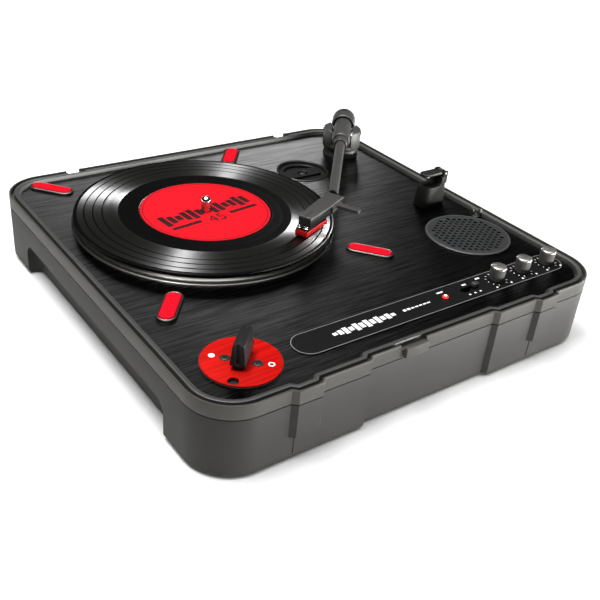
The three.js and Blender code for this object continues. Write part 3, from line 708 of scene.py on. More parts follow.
def deck():
    openings = [
        circle(PLATTER_HOLE, PLATTER, 160),
        circle(SWITCH_HOLE, SWITCH, 64),
        circle(ADAPTER_HOLE, ADAPTER, 64),
        circle(SPEAKER_HOLE, SPEAKER, 64),
        *panel_holes(),
    ]
    top = plate("deck_top", [case_plan(BEZEL_INNER + 0.25), *openings], DECK_Z - 1.5, DECK_Z, 0.1)
    dress(flat_tops(top), "chassis", DECK_METAL, ["deck_plate"])


def control_panel():
    """The black panel, and the thin grey line round it."""
    radius = (PANEL_HIGH.y - PANEL_LOW.y) / 2
    straight = (PANEL_HIGH.x - PANEL_LOW.x) / 2 - radius
    center = ((PANEL_LOW.x + PANEL_HIGH.x) / 2, PANEL_Y)
    low = DECK_Z + 0.02
    outlines = [stadium(straight, radius - 0.45, center, 24), *panel_holes()]
    panel = plate("control_panel", outlines, low, PRINT_Z, 0.1)
    dress(flat_tops(panel), "chassis", INLAY, ["control_inlay"])
    outlines = [stadium(straight, radius, center, 24), stadium(straight, radius - 0.5, center, 24)]
    border = plate("panel_border", outlines, low, PRINT_Z + 0.02, 0.05)
    dress(border, "chassis", BORDER)


def pad_plan(radius):
    return stadium(PAD_HALF, radius)


def support_pads():
    """Red rubber pads round the platter, each pointing at it, in bright trims."""
    rim = [
        (6.0, 0.05), (6.0, 0.5), (5.85, 1.05), (5.5, 1.4), (5.15, 1.5), (4.85, 1.35), (4.7, 0.9), (4.7, 0.1),
    ]
    crown = [(4.5, 0.2), (4.5, 1.3), (4.4, 1.65), (4.1, 1.85), (3.5, 1.95), (2.0, 2.0)]
    for i in range(1, 5):
        center = node_center(f"support_pad_{i}")
        away = Vector((center.x - PLATTER.x, center.y - PLATTER.y))
        place = shift(center.x, center.y) @ turn(math.degrees(math.atan2(away.y, away.x)))
        trim = loft(f"pad_rim_{i}", levels(pad_plan, above(DECK_Z, rim)), closed=True)
        dress(moved(trim, place), "chassis", BRIGHT, [f"pad_trim_{i}"])
        pad = loft(f"pad_felt_{i}", levels(pad_plan, above(DECK_Z, crown)), smooth=50)
        dress(moved(pad, place), "chassis", RED_RUBBER, [f"support_pad_{i}"])


def side_tabs():
    low, high = node_box("side_tabs")
    body = join(
        block("rest_tabs", (low.x, high.y - 2.4, low.z), (low.x + 2.8, high.y, high.z), 0.6),
        block("tab_tool", (high.x - 2.6, low.y, low.z), (high.x, low.y + 2.4, high.z), 0.6),
        block("tab_tool", (low.x, low.y, low.z), (high.x, high.y, low.z + 0.7), 0.2),
    )
    dress(body, "chassis", ARM_METAL, ["side_tabs"])


# ---- platter and record
BORE = 3.8  # radius of the hole round the spindle
TRACK_GAPS = (80.6, 74.8, 68.9)  # radii of the smooth rings between the tracks
LABEL_TURN = 7  # how far the label's print is turned from the front edge


def platter():
    high = node_box("platter")[1]
    rim = high.x - PLATTER.x
    top, web = high.z, 46  # the web lies under the top between the hub and the rim
    profile = [
        (BORE, top), (BORE, 42.2), (9, 42.2), (9, web), (58, web), (58, 41.8), (60, 41.8), (60, web),
        (rim - 2, web), (rim - 2, 42.6), (rim - 0.5, 42.5), (rim - 0.3, 42.8), (rim, 43.4), (rim, 46.9),
        (rim - 1.0, top), (BORE, top),
    ]
    disc = lathe("platter_disc", profile, PLATTER, 192, smooth=20)
    dress(disc, "platter_body", PLATTER_METAL, ["platter"])


def deck_ring():
    """The thin trim round the platter's opening."""
    top = node_box("platter_trim")[1].z
    profile = [
        (87.6, DECK_Z), (87.6, top - 0.1), (87.8, top), (88.5, top), (88.8, top - 0.3), (88.9, DECK_Z),
        (87.6, DECK_Z),
    ]
    ring = lathe("deck_ring", profile, PLATTER, 192, smooth=20)
    dress(ring, "chassis", TRIM_METAL, ["platter_trim"])


def slipmat():
    low, high = node_box("slipmat")
    radius = high.x - PLATTER.x
    profile = [(BORE, low.z), (radius - 0.3, low.z), (radius, low.z + 0.4), (radius - 0.1, high.z - 0.3)]
    profile += [(radius - 0.6, high.z), (BORE, high.z), (BORE, low.z)]
    mat = lathe("felt_mat", profile, PLATTER, 128)
    dress(mat, "platter_body", BLACK_FELT, ["slipmat"])


def record_profile(edge, top, bottom):
    """The raised edge, the grooved band with its track gaps, the run-out and the label's seat."""
    groove, run_out, seat = top - 0.12, top - 0.2, top - 0.4
    profile = [
        (BORE, bottom), (edge - 0.7, bottom), (edge - 0.15, bottom + 0.4), (edge, bottom + 0.85),
        (edge - 0.15, top - 0.35), (edge - 0.7, top - 0.02), (edge - 1.6, top), (edge - 2.4, groove),
    ]
    for gap in TRACK_GAPS:
        sunk = groove - 0.04
        profile += [(gap + 0.5, groove), (gap + 0.45, sunk), (gap - 0.45, sunk), (gap - 0.5, groove)]
    return profile + [
        (59.0, groove), (58.5, run_out), (53.5, run_out - 0.02), (52.8, top - 0.28), (52.2, run_out - 0.02),
        (46.2, run_out), (45.4, top - 0.1), (44.9, run_out), (44.6, seat), (BORE, seat), (BORE, bottom),
    ]


def record():
    low, high = node_box("record")
    edge = high.x - PLATTER.x
    disc = lathe("vinyl_disc", record_profile(edge, high.z, low.z), PLATTER, 256, smooth=6)
    dress(disc, "platter_body", VINYL, ["record"])
    disc.data.materials.append(VINYL_LAND)
    for face in disc.data.polygons:
        radius = math.hypot(face.center.x / MM - PLATTER.x, face.center.y / MM - PLATTER.y)
        in_gap = any(abs(radius - gap) < 0.6 for gap in TRACK_GAPS)
        if in_gap or radius < 58.6 or radius > edge - 2.4:
            face.material_index = 1


def label_print(name, outlines, place):
    piece = plate(name, outlines, LABEL_Z, LABEL_Z + 0.03, 0.005)
    dress(moved(piece, place), "platter_body", DARK_INK)


def label_number(words, size, place):
    curve = bpy.data.curves.new("label_speed", "FONT")
    curve.body = words
    curve.size = size * MM
    curve.align_x = "CENTER"
    curve.align_y = "CENTER"
    curve.extrude = 0.015 * MM
    curve.space_character = 1.05
    piece = moved(piece_from_curve("label_speed", curve), place @ shift(z=LABEL_Z + 0.02))
    dress(tidy(piece, 30), "platter_body", DARK_INK)


def record_label():
    """The label with a plain generic print: two rings, a row of level bars, two strips and the speed."""
    low, high = node_box("record_label")
    radius = high.x - PLATTER.x
    profile = [(BORE, low.z), (radius, low.z), (radius, high.z - 0.03), (radius - 0.06, high.z)]
    label = lathe("label_disc", [*profile, (BORE, high.z), (BORE, low.z)], PLATTER, 160)
    dress(label, "platter_body", LABEL_PAPER, ["record_label"])
    middle = shift(PLATTER.x, PLATTER.y)
    for i, (outer, inner) in enumerate(((42.6, 42.1), (44.35, 44.05))):
        label_print(f"label_ring_{i + 1}", [circle(outer, steps=160), circle(inner, steps=160)], middle)
    place = middle @ turn(LABEL_TURN)
    bars, pitch, wide = 13, 5.5, 4.4
    for i in range(bars):
        if i != bars // 2:  # the spindle stands in the middle
            tall = 2 * (5.4 + 2.0 * math.cos(i * 1.7))
            x = (i - bars // 2) * pitch
            label_print(f"label_bar_{i + 1}", [rectangle(x, 0, wide, tall)], place)
    for i, side in enumerate((-1, 1)):
        label_print(f"label_strip_{i + 1}", [rectangle(side * 23.5, -11.6, 23, 3.2)], place)
    label_number("45", 13, place @ shift(0, -13.5))


def spindle():
    low, high = node_box("spindle")
    radius, cap = 3.5, 3.4
    base = high.z - cap
    profile = [(0, low.z), (radius, low.z), (radius, base), *dome(radius, cap, base, 10, 81, 10), (0, high.z)]
    center_pin = lathe("center_pin", profile, PLATTER, 48)
    dress(center_pin, "platter_body", POLISHED, ["spindle"])


# ---- adapter
def adapter_cup():
    low, high = node_box("adapter_cup")
    cup_r = high.x - ADAPTER.x
    floor, peg = 41.2, 43.4
    profile = [(0, low.z), (cup_r - 1.3, low.z)]
    profile += above(DECK_Z, [
        (cup_r - 1.3, 0), (cup_r - 0.2, 0), (cup_r, 0.2), (cup_r - 0.3, 0.55), (cup_r - 1.0, 0.65),
        (cup_r - 1.7, 0.45), (cup_r - 2.0, -0.1),
    ])
    profile += [(cup_r - 2.0, floor), (2.9, floor), (2.9, peg - 0.4), (2.5, peg), (0, peg)]
    cup = lathe("adapter_dish", profile, ADAPTER, 96, smooth=50)
    dress(cup, "chassis", DARK_METAL, ["adapter_cup"])


def adapter_disc():
    """The disc for records with a large hole: two windows with a bar between them, and a hole."""
    low, high = node_box("adapter_45")
    window, bar = 14.8, 5.5
    edge = math.degrees(math.asin(bar / window))
    outlines = [
        circle(high.x - ADAPTER.x, ADAPTER, 96),
        arc(ADAPTER, window, edge, 180 - edge, 32),
        arc(ADAPTER, window, 180 + edge, 360 - edge, 32),
        circle(3.7, ADAPTER, 32),
    ]
    disc = plate("adapter_disc", outlines, low.z, high.z, 0.35)
    dress(disc, "adapter", DARK_METAL, ["adapter_45"])


# ---- tonearm
PIVOT = Vector(joint("arm_swing")["pos_m"]) / MM
LIFT_AXIS = Vector(joint("arm_lift")["axis"])
ARM_ANGLE = math.degrees(math.atan2(LIFT_AXIS.x, -LIFT_AXIS.y))
ARM = shift(PIVOT.x, PIVOT.y, PIVOT.z) @ turn(ARM_ANGLE)  # X along the arm, from its pivot
HEAD_PLACE = shift(131.5, 2.2) @ turn(-23.8)  # where the headshell starts on the arm
HEAD = ARM @ HEAD_PLACE
YOKE_R = 15.3


def arm_base():
    low, high = node_box("arm_base")
    radius = (high.x - low.x) / 2
    bore = 5.3
    profile = [
        (bore, low.z), (radius, low.z), (radius, low.z + 0.8), (radius - 0.25, low.z + 1.3),
        (radius - 0.8, high.z - 0.6), (radius - 1.1, high.z - 0.15), (radius - 1.5, high.z),
        (bore, high.z), (bore, low.z),
    ]
    ring = lathe("arm_foot", profile, PIVOT, 96)
    dress(ring, "chassis", ARM_METAL, ["arm_base"])


def arm_yoke():
    """A round block slotted for the housing, on a stub that turns in the base."""
    low, high = node_box("arm_yoke")
    bottom = node_box("arm_base")[1].z + 0.4 - PIVOT.z
    top = high.z - PIVOT.z
    stub, stub_end = 5, low.z - PIVOT.z
    profile = [
        (0, stub_end), (stub, stub_end), (stub, bottom), (YOKE_R - 1, bottom), (YOKE_R - 0.3, bottom + 0.3),
        (YOKE_R, bottom + 1), (YOKE_R, top - 1.6), (YOKE_R - 0.35, top - 0.7), (YOKE_R - 1.2, top - 0.15),
        (YOKE_R - 2, top), (0, top),
    ]
    yoke = lathe("yoke_block", profile, steps=96)
    housing_slot = block("yoke_tool", (-20, -8.3, -10), (20, 8.3, 20), 0)
    weight_room = block("yoke_tool", (-20, -10.2, -12.4), (-6.2, 10.2, 20), 0)
    cut(yoke, housing_slot, weight_room)
    soften(yoke, 0.35, 2, 50)
    for side in (-1, 1):
        screw = rod("pivot_screw", [(-0.3, 0), (-0.3, 2.2), (0.3, 2.2), (0.5, 1.9), (0.5, 0)], 32)
        place = ARM @ shift(0, side * YOKE_R) @ turn(90 * side)
        dress(moved(screw, place), "turret", POLISHED)
    dress(moved(yoke, ARM), "turret", ARM_METAL, ["arm_yoke"])


def arm_housing():
    """The barrel with its collar, the trunnion that it tilts on and the weight's stub."""
    housing = rod("arm_barrel", [
        (-13, 0), (-13, 6.6), (-12.6, 7.0), (-12, 7.2), (26.2, 7.2), (27.2, 7.0), (27.9, 6.4), (28, 5.5),
        (28.1, 5.2), (28.9, 5.35), (29.4, 5.4), (33.8, 5.4), (34.8, 5.2), (35.2, 4.7), (35.2, 4.0),
        (28.8, 3.9), (28.8, 0),
    ])
    stub = rod("stub", [(-23.4, 0), (-23.4, 2.8), (-12.5, 2.8), (-12.5, 0)], 32)
    join(housing, stub, pin("trunnion", 7.9, 2.6, 32))
    dress(moved(housing, ARM), "tonearm", ARM_METAL, ["arm_housing"])


def counterweight():
    weight = rod("counter_weight", [
        (-30, 0), (-30, 5.6), (-29.8, 6.6), (-29.2, 7.7), (-28.0, 8.7), (-26.4, 9.3), (-24.5, 9.6),
        (-10.0, 9.6), (-9.2, 9.4), (-8.7, 8.9), (-8.7, 8.3), (-14.5, 8.3), (-14.5, 3.1), (-25, 3.1), (-25, 0),
    ])
    cut(weight, block("notch", (-22.5, -2.4, 8.6), (-20.6, 2.4, 12), 0.4))
    dress(moved(weight, ARM), "weight", ARM_METAL, ["counterweight"])


def arm_tube():
    tube = rod("arm_pipe", [(29, 2.6), (29, 3.6), (140, 3.6), (140, 2.6), (29, 2.6)], 48)
    beyond_head = block("end_tool", (-0.3, -40, -20), (40, 40, 20), 0)
    cut(tube, moved(beyond_head, HEAD_PLACE))
    dress(moved(tube, ARM), "tonearm", ARM_METAL, ["arm_tube"])


def headshell_plan(inset):
    back, front = 6 - inset, 4.7 - inset
    return [(inset, -back), (20, -back), (45 - inset, -front), (45 - inset, front), (20, back), (inset, back)]


def headshell():
    rings = [(0.2, -0.25), (0, -0.05), (0, 0.95), (0.12, 1.2), (0.35, 1.35), (0.6, 1.4)]
    top = loft("headshell_top", levels(headshell_plan, rings))
    cut(top, block("mark", (36, -0.35, 1.15), (46, 0.35, 3), 0))
    dress(moved(top, HEAD), "tonearm", ARM_METAL, ["headshell"])


def cartridge():
    """The black body under the headshell, and the two bright contacts on its front."""
    body = loft("cartridge_body", levels(headshell_plan, [(0.25, -5.4), (0.25, -0.3)]))
    join(body, block("nose", (17, -4.2, -7.4), (46.6, 4.2, -5.2), 0))
    cut(body, block("rear_cut", (-2, -8, -8), (9, 8, -3.8), 0))
    soften(body, 0.3, 2, 40)
    dress(moved(body, HEAD), "tonearm", BLACK, ["cartridge"])
    for i, (y0, y1) in enumerate(((-4.0, -0.9), (0.9, 4.0))):
        contact = join(
            block(f"cartridge_pin_{i + 1}", (46.7, y0, -7.2), (48.3, y1, -5.3), 0.25),
            block("pin_step", (45.2, y0 + 0.7, -6.2), (47.2, y1 - 0.7, -4.4), 0.2),
        )
        dress(moved(contact, HEAD), "tonearm", POLISHED, ["cartridge_pins"])


def stylus_plan(inset):
    x0, x1, back, front = 21.4 + inset, 48.4 - inset, 5.2 - inset, 4.4 - inset
    return [(x0, -back), (x1, -front), (x1, front), (x0, back)]


def stylus_holder():
    rings = [(0.7, -11.6), (0.2, -11.3), (0, -10.9), (0, -8.0), (0.2, -7.7)]
    holder = loft("stylus_block", levels(stylus_plan, rings))
    tip = [(0, -12.7), (0.12, -12.6), (0.5, -11.8), (0.5, -11), (0, -11)]
    join(holder, lathe("needle", tip, (43, 0), 24))
    dress(moved(holder, HEAD), "tonearm", RED_PLASTIC, ["stylus_holder"])


def finger_lift():
    blade = [
        (7.0, 5.9), (12.6, 5.9), (12.3, 21.0), (11.7, 22.6), (10.6, 23.2), (9.0, 23.2), (7.9, 22.6),
        (7.4, 21.0),
    ]
    lift = loft("finger_rest", [at_height(blade, z) for z in (-2.4, -0.1)])
    join(lift, block("root", (5.5, 5.8, -4), (18, 7.0, -0.2), 0))
    soften(lift, 0.3, 3, 40)
    dress(moved(lift, HEAD), "tonearm", ARM_METAL, ["finger_lift"])


# ---- arm rest
REST = node_center("arm_rest_post")
CLIP_HINGE = Vector(joint("clip_hinge")["pos_m"]) / MM


def rest_post():
    """A tapering pillar with a seat for the arm, two ears behind it and the hinge's pin."""
    low, high = node_box("arm_rest_post")
    x, y = REST.x, REST.y
    pillar = [
        (12.5, 7, low.z), (12.4, 6.95, low.z + 3), (12.2, 6.8, 52), (11.5, 6.3, 61), (11.1, 6.1, 66.5),
        (10.8, 5.9, 67.3), (10.4, 5.5, 67.6),
    ]
    rings = [at_height(stadium(half - radius, radius, (x, y), 20), z) for half, radius, z in pillar]
    post = loft("rest_pillar", rings)
    cut(
        post,
        block("cheek_tool", (x - 30, y - 30, PIVOT.z - 4.0), (x, y + 30, 90), 0),
        block("seat_tool", (x - 1, y - 30, PIVOT.z), (x + 4, y + 30, 90), 0),
        moved(pin("seat_tool", 30, 4, 48), shift(x, y, PIVOT.z)),
    )
    soften(post, 0.4, 2, 45)
    for y0 in (-5.2, 3.0):
        join(post, block("ear", (125.2, y + y0, 62), (130, y + y0 + 2.2, high.z), 0.7))
    dress(post, "chassis", POST_BLACK, ["arm_rest_post"])
    hinge_pin = moved(pin("hinge_pin", 5.3, 0.8, 24), shift(CLIP_HINGE.x, y, CLIP_HINGE.z))
    dress(hinge_pin, "chassis", POLISHED)


def rest_clip():
    """A flap with a round end over the arm's seat, and the barrel that turns on the hinge's pin."""
    y = REST.y
    wide, narrow, shoulder, back = 4.2, 2.6, 124.4, 127.6
    outline = arc((112.2, y), wide, 90, 270, 20)
    outline += [(shoulder, y - wide), (shoulder, y - narrow), (back, y - narrow)]
    outline += [(back, y + narrow), (shoulder, y + narrow), (shoulder, y + wide)]
    flap = plate("rest_flap", [outline], 69.1, 70.8, 0.3)
    at_hinge = shift(CLIP_HINGE.x, y, CLIP_HINGE.z) @ turn(90)
    barrel = rod("barrel", [(-2.6, 0), (-2.6, 1.6), (-2.3, 1.9), (2.3, 1.9), (2.6, 1.6), (2.6, 0)], 32)
    join(flap, moved(barrel, at_hinge))
    cut(flap, moved(pin("bore", 9, 1.1, 24), shift(CLIP_HINGE.x, y, CLIP_HINGE.z)))
    dress(flap, "rest_clip", POST_METAL, ["arm_rest_clip"])


# ---- toggle switch
AT_SWITCH = shift(SWITCH.x, SWITCH.y)


def switch_plate():
    """The red plate with its two deep holes, near-black cups under them as painted shade, and a near-black
    ring round it as the painted shade of its gap.
    """
    low, high = node_box("switch_disc")
    radius = (high.x - low.x) / 2
    centers = arc((0, 0), 18.2, 45, 225, 1)
    holes = [circle(3.0, center, 32) for center in centers]
    disc = plate("switch_plate", [circle(radius, steps=128), *holes], low.z, high.z, 0.15)
    dress(moved(disc, AT_SWITCH), "chassis", RED_METAL, ["switch_disc"])
    profile = above(low.z, [(0, -1.6), (3.4, -1.6), (3.4, 0), (2.95, 0), (2.95, -1.4), (0, -1.4)])
    # Near-black cups: the painted shade inside the holes.
    for i, center in enumerate(centers):
        well = lathe(f"switch_well_{i + 1}", profile, center, 32)
        dress(moved(well, AT_SWITCH), "chassis", PAINTED_SHADE_BLACK)
    # A flat near-black ring: the painted shade of the gap round the plate.
    outlines = [circle(radius + 0.5, steps=128), circle(radius - 0.4, steps=128)]
    gap = plate("switch_gap", outlines, DECK_Z, low.z - 0.01, 0)
    dress(moved(gap, AT_SWITCH), "chassis", PAINTED_SHADE_BLACK)


def switch_marks():
    """A white dot for on and a white ring for off."""
    ink = node_box("switch_disc")[1].z
    off = (12.1, -10.5)
    dot = plate("switch_dot", [circle(1.8, (-11.3, 11.5), 48)], ink, ink + 0.04, 0.01)
    ring = plate("switch_ring", [circle(1.9, off, 48), circle(1.15, off, 48)], ink, ink + 0.04, 0.01)
    for mark in (dot, ring):
        dress(moved(mark, AT_SWITCH), "chassis", WHITE_INK)


def switch_screws():
    """Low cross-head screws, each on a flat near-black disc that is painted shade round its head."""
    ink = node_box("switch_disc")[1].z
    profile = above(ink, [(0, 0), (2.6, 0), (2.55, 0.25), (2.3, 0.4), (1.2, 0.5), (0, 0.5)])
    for i in (1, 2):
        center = node_center(f"switch_screw_{i}")
        screw = lathe(f"cross_screw_{i}", profile, steps=40)
        for angle in (20, 110):
            groove = block("driver", (-1.75, -0.4, ink + 0.02), (1.75, 0.4, ink + 3), 0)
            cut(screw, moved(groove, turn(angle)))
        place = shift(center.x, center.y)
        dress(moved(screw, place), "chassis", SCREW_GREY, [f"switch_screw_{i}"])
        # A flat near-black disc round the head: painted shade.
        seat = plate(f"screw_seat_{i}", [circle(2.95, steps=40)], ink, ink + 0.03, 0)
        dress(moved(seat, place), "chassis", PAINTED_SHADE_BLACK)


def switch_paddle():
    """A tapering paddle on a rounded root, flared at its foot and slotted at both ends."""
    top = node_box("switch_paddle")[1].z
    axis_z = joint("switch_tilt")["pos_m"][2] / MM
    half = 9.7
    side = [(2.6, 48.6), (4.3, 48.7), (4.4, 49.3), (3.2, 60.6), (2.9, 61.4), (2.2, top)]
    section = arc((0, axis_z), 4.0, 230, 310, 10) + side + [(-t, z) for t, z in reversed(side)]
    rings = []
    for x, pull in ((-half, 0.9), (-half + 0.5, 1), (half - 0.5, 1), (half, 0.9)):
        rings.append([(x, t * pull, z) for t, z in section])
    paddle = loft("toggle_paddle", rings)
    for end in (-1, 1):
        x = sorted((end * 8.2, end * 12))
        cut(paddle, block("end_slot", (x[0], -0.9, axis_z - 1), (x[1], 0.9, 70), 0))
    soften(paddle, 0.35, 3, 40)
    dress(moved(paddle, AT_SWITCH @ turn(45)), "paddle", BLACK, ["switch_paddle"])


# ---- controls
def print_mark(name, outline, place=shift()):
    """A flat white mark on the control panel."""
    mark = plate(name, [outline], PRINT_Z, PRINT_Z + 0.04, 0.01)
    dress(moved(mark, place), "chassis", WHITE_INK)


def knob(index, name):
    """A skirt painted darker than the cap as the shade on the knob's side, a bright cap and its pointer."""
    body = name.split("_")[0]
    low, high = node_box(name)
    place = shift(*node_center(name).xy)
    base, top = DECK_Z + 0.8, high.z
    cap_z = top - 1.3
    profile = [(0, low.z), (3, low.z), (3, base), (4.7, base), (4.85, base + 0.4), (5.1, cap_z), (0, cap_z)]
    skirt = lathe(f"knob_skirt_{index}", profile, steps=72)
    # The skirt's darker metal is painted shade for the side.
    dress(moved(skirt, place), body, KNOB_SHADED_SIDE)
    profile = above(top, [
        (0, -1.28), (5.1, -1.28), (5.05, -0.95), (4.75, -0.45), (4.25, -0.12), (3.9, 0), (0, 0),
    ])
    cap = lathe(f"knob_{index}", profile, steps=72)
    pointing = turn(130)
    cut(cap, moved(block("pointer", (1.2, -0.75, top - 0.9), (7, 0.75, top + 3), 0.2), pointing))
    dress(moved(cap, place), body, KNOB_METAL, [name])
    line = block(f"pointer_line_{index}", (1.4, -0.42, top - 0.95), (5.0, 0.42, top - 0.55), 0.08)
    dress(moved(line, place @ pointing), body, WHITE_INK)


def dial_print(index, name):
    """Ticks round a knob, from -150 to 150 degrees about the back, and a dot at either end."""
    center = node_center(name)
    ticks, swing = 11, 150
    for k in range(ticks):
        place = shift(center.x, center.y) @ turn(90 + swing - 2 * swing * k / (ticks - 1))
        print_mark(f"tick_{index}_{k + 1}", rectangle(6.9, 0, 1.2, 0.44), place)
    for label, side in (("mark", -1), ("end", 1)):
        print_mark(f"knob_{label}_{index}", circle(0.75, (center.x + side * 6.6, center.y - 7.3), 24))


def speed_slider():
    low, high = node_box("speed_slider")
    cap_z = DECK_Z + 0.8
    cap = join(
        block("slider_cap", (low.x, low.y, cap_z), high, 0.35),
        block("slider_stem", (low.x + 0.7, low.y + 0.3, low.z), (high.x - 0.7, high.y - 0.3, cap_z + 0.4), 0),
    )
    ridge_end = (high.x - 1.75, high.y + 1, high.z + 1)
    cut(cap, block("ridge", (low.x + 1.75, low.y - 1, high.z - 0.4), ridge_end, 0))
    dress(cap, "speed", BEZEL_METAL, ["speed_slider"])


def power_led():
    low, high = node_box("power_led")
    center = node_center("power_led")
    radius, base = 1.8, DECK_Z + 0.5
    profile = [(0, low.z), (radius, low.z), (radius, base), *dome(radius, 1.0, base, 15, 76, 15), (0, high.z)]
    lamp = lathe("led_lens", profile, center, 40)
    dress(lamp, "chassis", LED, ["power_led"])
    profile = above(high.z, [(0, -0.4), (1.0, -0.4), (0.9, 0), (0.5, 0.1), (0, 0.12)])
    core = lathe("led_core", profile, center, 32)
    dress(core, "chassis", LED_CORE)


def panel_print():
    """Plain dashes where words would be, and a row of level bars where a name plate would be."""
    for i in range(3):
        x = node_center("speed_slider").x + (i - 2) * SLIDER_STEP
        print_mark(f"speed_mark_{i + 1}", rectangle(x, PANEL_Y - 5.4, 1.5, 1.1))
    words = ((56.1, 5.1, 3.4, 1.4), (69.7, 6.7, 3.6, 1.4), (35.3, 5.2, 5.0, 1.2))
    for i, (x, up, wide, deep) in enumerate(words):
        print_mark(f"label_mark_{i + 1}", rectangle(x, PANEL_Y + up, wide, deep))
    heights = (2.4, 4.2, 6.0, 3.6, 6.8, 4.8, 7.0, 4.4, 6.2, 3.6, 5.0, 2.6)
    for i, tall in enumerate(heights):
        print_mark(f"level_bar_{i + 1}", rectangle(-50 + i * 3.9, PANEL_Y, 2.9, tall))
    for i in range(7):
        print_mark(f"dash_{i + 1}", rectangle(2 + i * 3.2, PANEL_Y, 2.3, 1.9 if i < 2 else 1.1))


def controls():
    for i, name in enumerate(KNOBS):
        knob(i + 1, name)
        dial_print(i + 1, name)
    speed_slider()
    power_led()
    panel_print()


# ---- speaker
GRILLE_FIELD = 25.6  # radius of the perforated part


def grille_holes():
    """Round holes in rows that run from front to back, each row shifted by half a pitch."""
    pitch, radius = 4.3, 1.5
    holes = []
    for row in range(-7, 8):
        for column in range(-8, 9):
            x = row * pitch * math.sin(math.radians(60))
            y = (column + (row % 2) / 2) * pitch
            if math.hypot(x, y) < GRILLE_FIELD:
                holes.append(circle(radius, (SPEAKER.x + x, SPEAKER.y + y), 16))
    return holes


def speaker():
    """The perforated face, its rim and a near-black disc behind it as the painted shade inside the holes."""
    low, high = node_box("speaker_grille")
    radius = (high.x - low.x) / 2
    top = high.z
    outlines = [circle(radius - 1.4, SPEAKER, 128), *grille_holes()]
    face = plate("grille_face", outlines, top - 0.55, top - 0.1, 0.1)
    dress(face, "chassis", GRILLE_METAL, ["speaker_grille"])
    profile = [
        (radius - 1.6, low.z), (radius - 0.1, low.z), (radius, low.z + 0.3), (radius - 0.2, top - 0.35),
        (radius - 0.7, top - 0.05), (radius - 1.2, top), (radius - 1.6, top - 0.1), (radius - 1.6, low.z),
    ]
    rim = lathe("grille_rim", profile, SPEAKER, 128, smooth=50)
    dress(rim, "chassis", BEZEL_METAL)
    # A near-black disc under the holes: painted shade for the dark inside the speaker.
    profile = above(DECK_Z, [(0, -0.9), (GRILLE_FIELD, -0.9), (GRILLE_FIELD, -0.5), (0, -0.5)])
    hole_shade = lathe("grille_cloth", profile, SPEAKER, 64)
    dress(hole_shade, "chassis", PAINTED_SHADE_BLACK)


# ---- feet, back and inside
def feet():
    for i in range(1, 5):
        low, high = node_box(f"foot_{i}")
        radius = (high.x - low.x) / 2
        profile = [
            (0, 0.25), (radius - 2.6, 0.25), (radius - 2.2, 0), (radius - 0.9, 0), (radius - 0.3, 0.25),
            (radius, 0.8), (radius, high.z), (0, high.z),
        ]
        foot = lathe(f"rubber_foot_{i}", profile, node_center(f"foot_{i}"), 48)
        dress(foot, "chassis", RUBBER, [f"foot_{i}"])


def jack(name, place, radius, bore, out, material):
    """A round socket whose mouth stands out at the back."""
    body = rod(name, [
        (-3, bore), (out - 0.3, bore), (out, bore + 0.4), (out, radius - 0.4), (out - 0.3, radius),
        (-3, radius), (-3, bore),
    ], 40)
    dress(moved(body, place @ turn(90)), "chassis", material)


def rear_panel():
    low, high = node_box("jack_plate")
    y = low.y + 1.6
    z = (low.z + high.z) / 2
    panel = block("socket_plate", low, (high.x, y, high.z), 0.3)
    dress(panel, "chassis", SOFT_BLACK, ["jack_plate"])
    for i, x in enumerate((-84, -71)):
        jack(f"line_socket_{i + 1}", shift(x, y, z), 4.2, 1.7, 2.6, POLISHED)
    jack("phones_socket", shift(-58, y, z), 3.6, 1.8, 1.0, POLISHED)
    jack("power_socket", shift(-36, y, z), 5.0, 1.9, 1.0, BLACK)


def inner_parts():
    """The CAD nodes inside and under the case keep their shape and take finished materials."""
    looks = {
        "platter_well": BLACK,
        "bearing_bush": POLISHED,
        "drive_belt": RUBBER,
        "motor": POLISHED,
        "motor_pulley": POLISHED,
        "speaker_frame": SOFT_BLACK,
        "speaker_cone": CONE_PAPER,
        "speaker_magnet": POLISHED,
        "circuit_board": BOARD,
        "battery_cover": LOWER_CASE,
    }
    for name, material in looks.items():
        for slot in frame["nodes"][name].material_slots:
            slot.material = material


# ---- camera
CAMERA_AT = (-0.30916, -0.40653, 0.30494)
CAMERA_AZIMUTH = 38.43
CAMERA_TILT = 31.55
CAMERA_ROLL = 5.63
FOCAL_LENGTH = 50.44


def toward(azimuth, elevation, distance):
    """A place around the object: azimuth is counted from +Y towards +X, in degrees."""
    a, e = math.radians(azimuth), math.radians(elevation)
    across = distance * math.cos(e)
    return (across * math.sin(a), across * math.cos(a), distance * math.sin(e))


def add_camera():
    forward = Vector(toward(CAMERA_AZIMUTH, -CAMERA_TILT, 1))
    camera = in_scene(bpy.data.objects.new("camera", bpy.data.cameras.new("camera")))
    camera.data.sensor_width = 36
    camera.data.lens = FOCAL_LENGTH
    camera.data.clip_start = 0.02
    aim = forward.to_track_quat("-Z", "Y").to_matrix().to_4x4()
    camera.matrix_world = Matrix.Translation(CAMERA_AT) @ aim @ turn(CAMERA_ROLL)
    bpy.context.scene.camera = camera


# ---- lights and floor, in metres
SHEEN_LIGHTS = (  # azimuth, elevation and power of the lights that shine along the brushed deck
    ("back_light", 34, 20, 3.6),
    ("low_back_light", 34, 14, 4.8),
    ("back_left_light", 20, 20, 2.9),
)


def softbox(name, at, size, power, target=(0, 0, 0.04), along=(0, 0, 1)):
    """A rectangular light that faces the object, with its second side along the given direction."""
    data = bpy.data.lights.new(name, "AREA")
    data.shape = "RECTANGLE"
    data.size, data.size_y = size
    data.energy = power
    light = in_scene(bpy.data.objects.new(name, data))
    light.visible_camera = False
    back = (Vector(at) - Vector(target)).normalized()
    side = Vector(along).cross(back).normalized()
    light.matrix_world = Matrix.Translation(at) @ Matrix((side, back.cross(side), back)).transposed().to_4x4()
    return light


def low_strip(name, at, length, power):
    """A long lamp on the floor, lower than the deck: it lights the case's sides and nothing on top."""
    height = 0.036
    middle = height / 2 + 0.004
    softbox(name, (*at, middle), (length, height), power, target=(0, 0, middle))


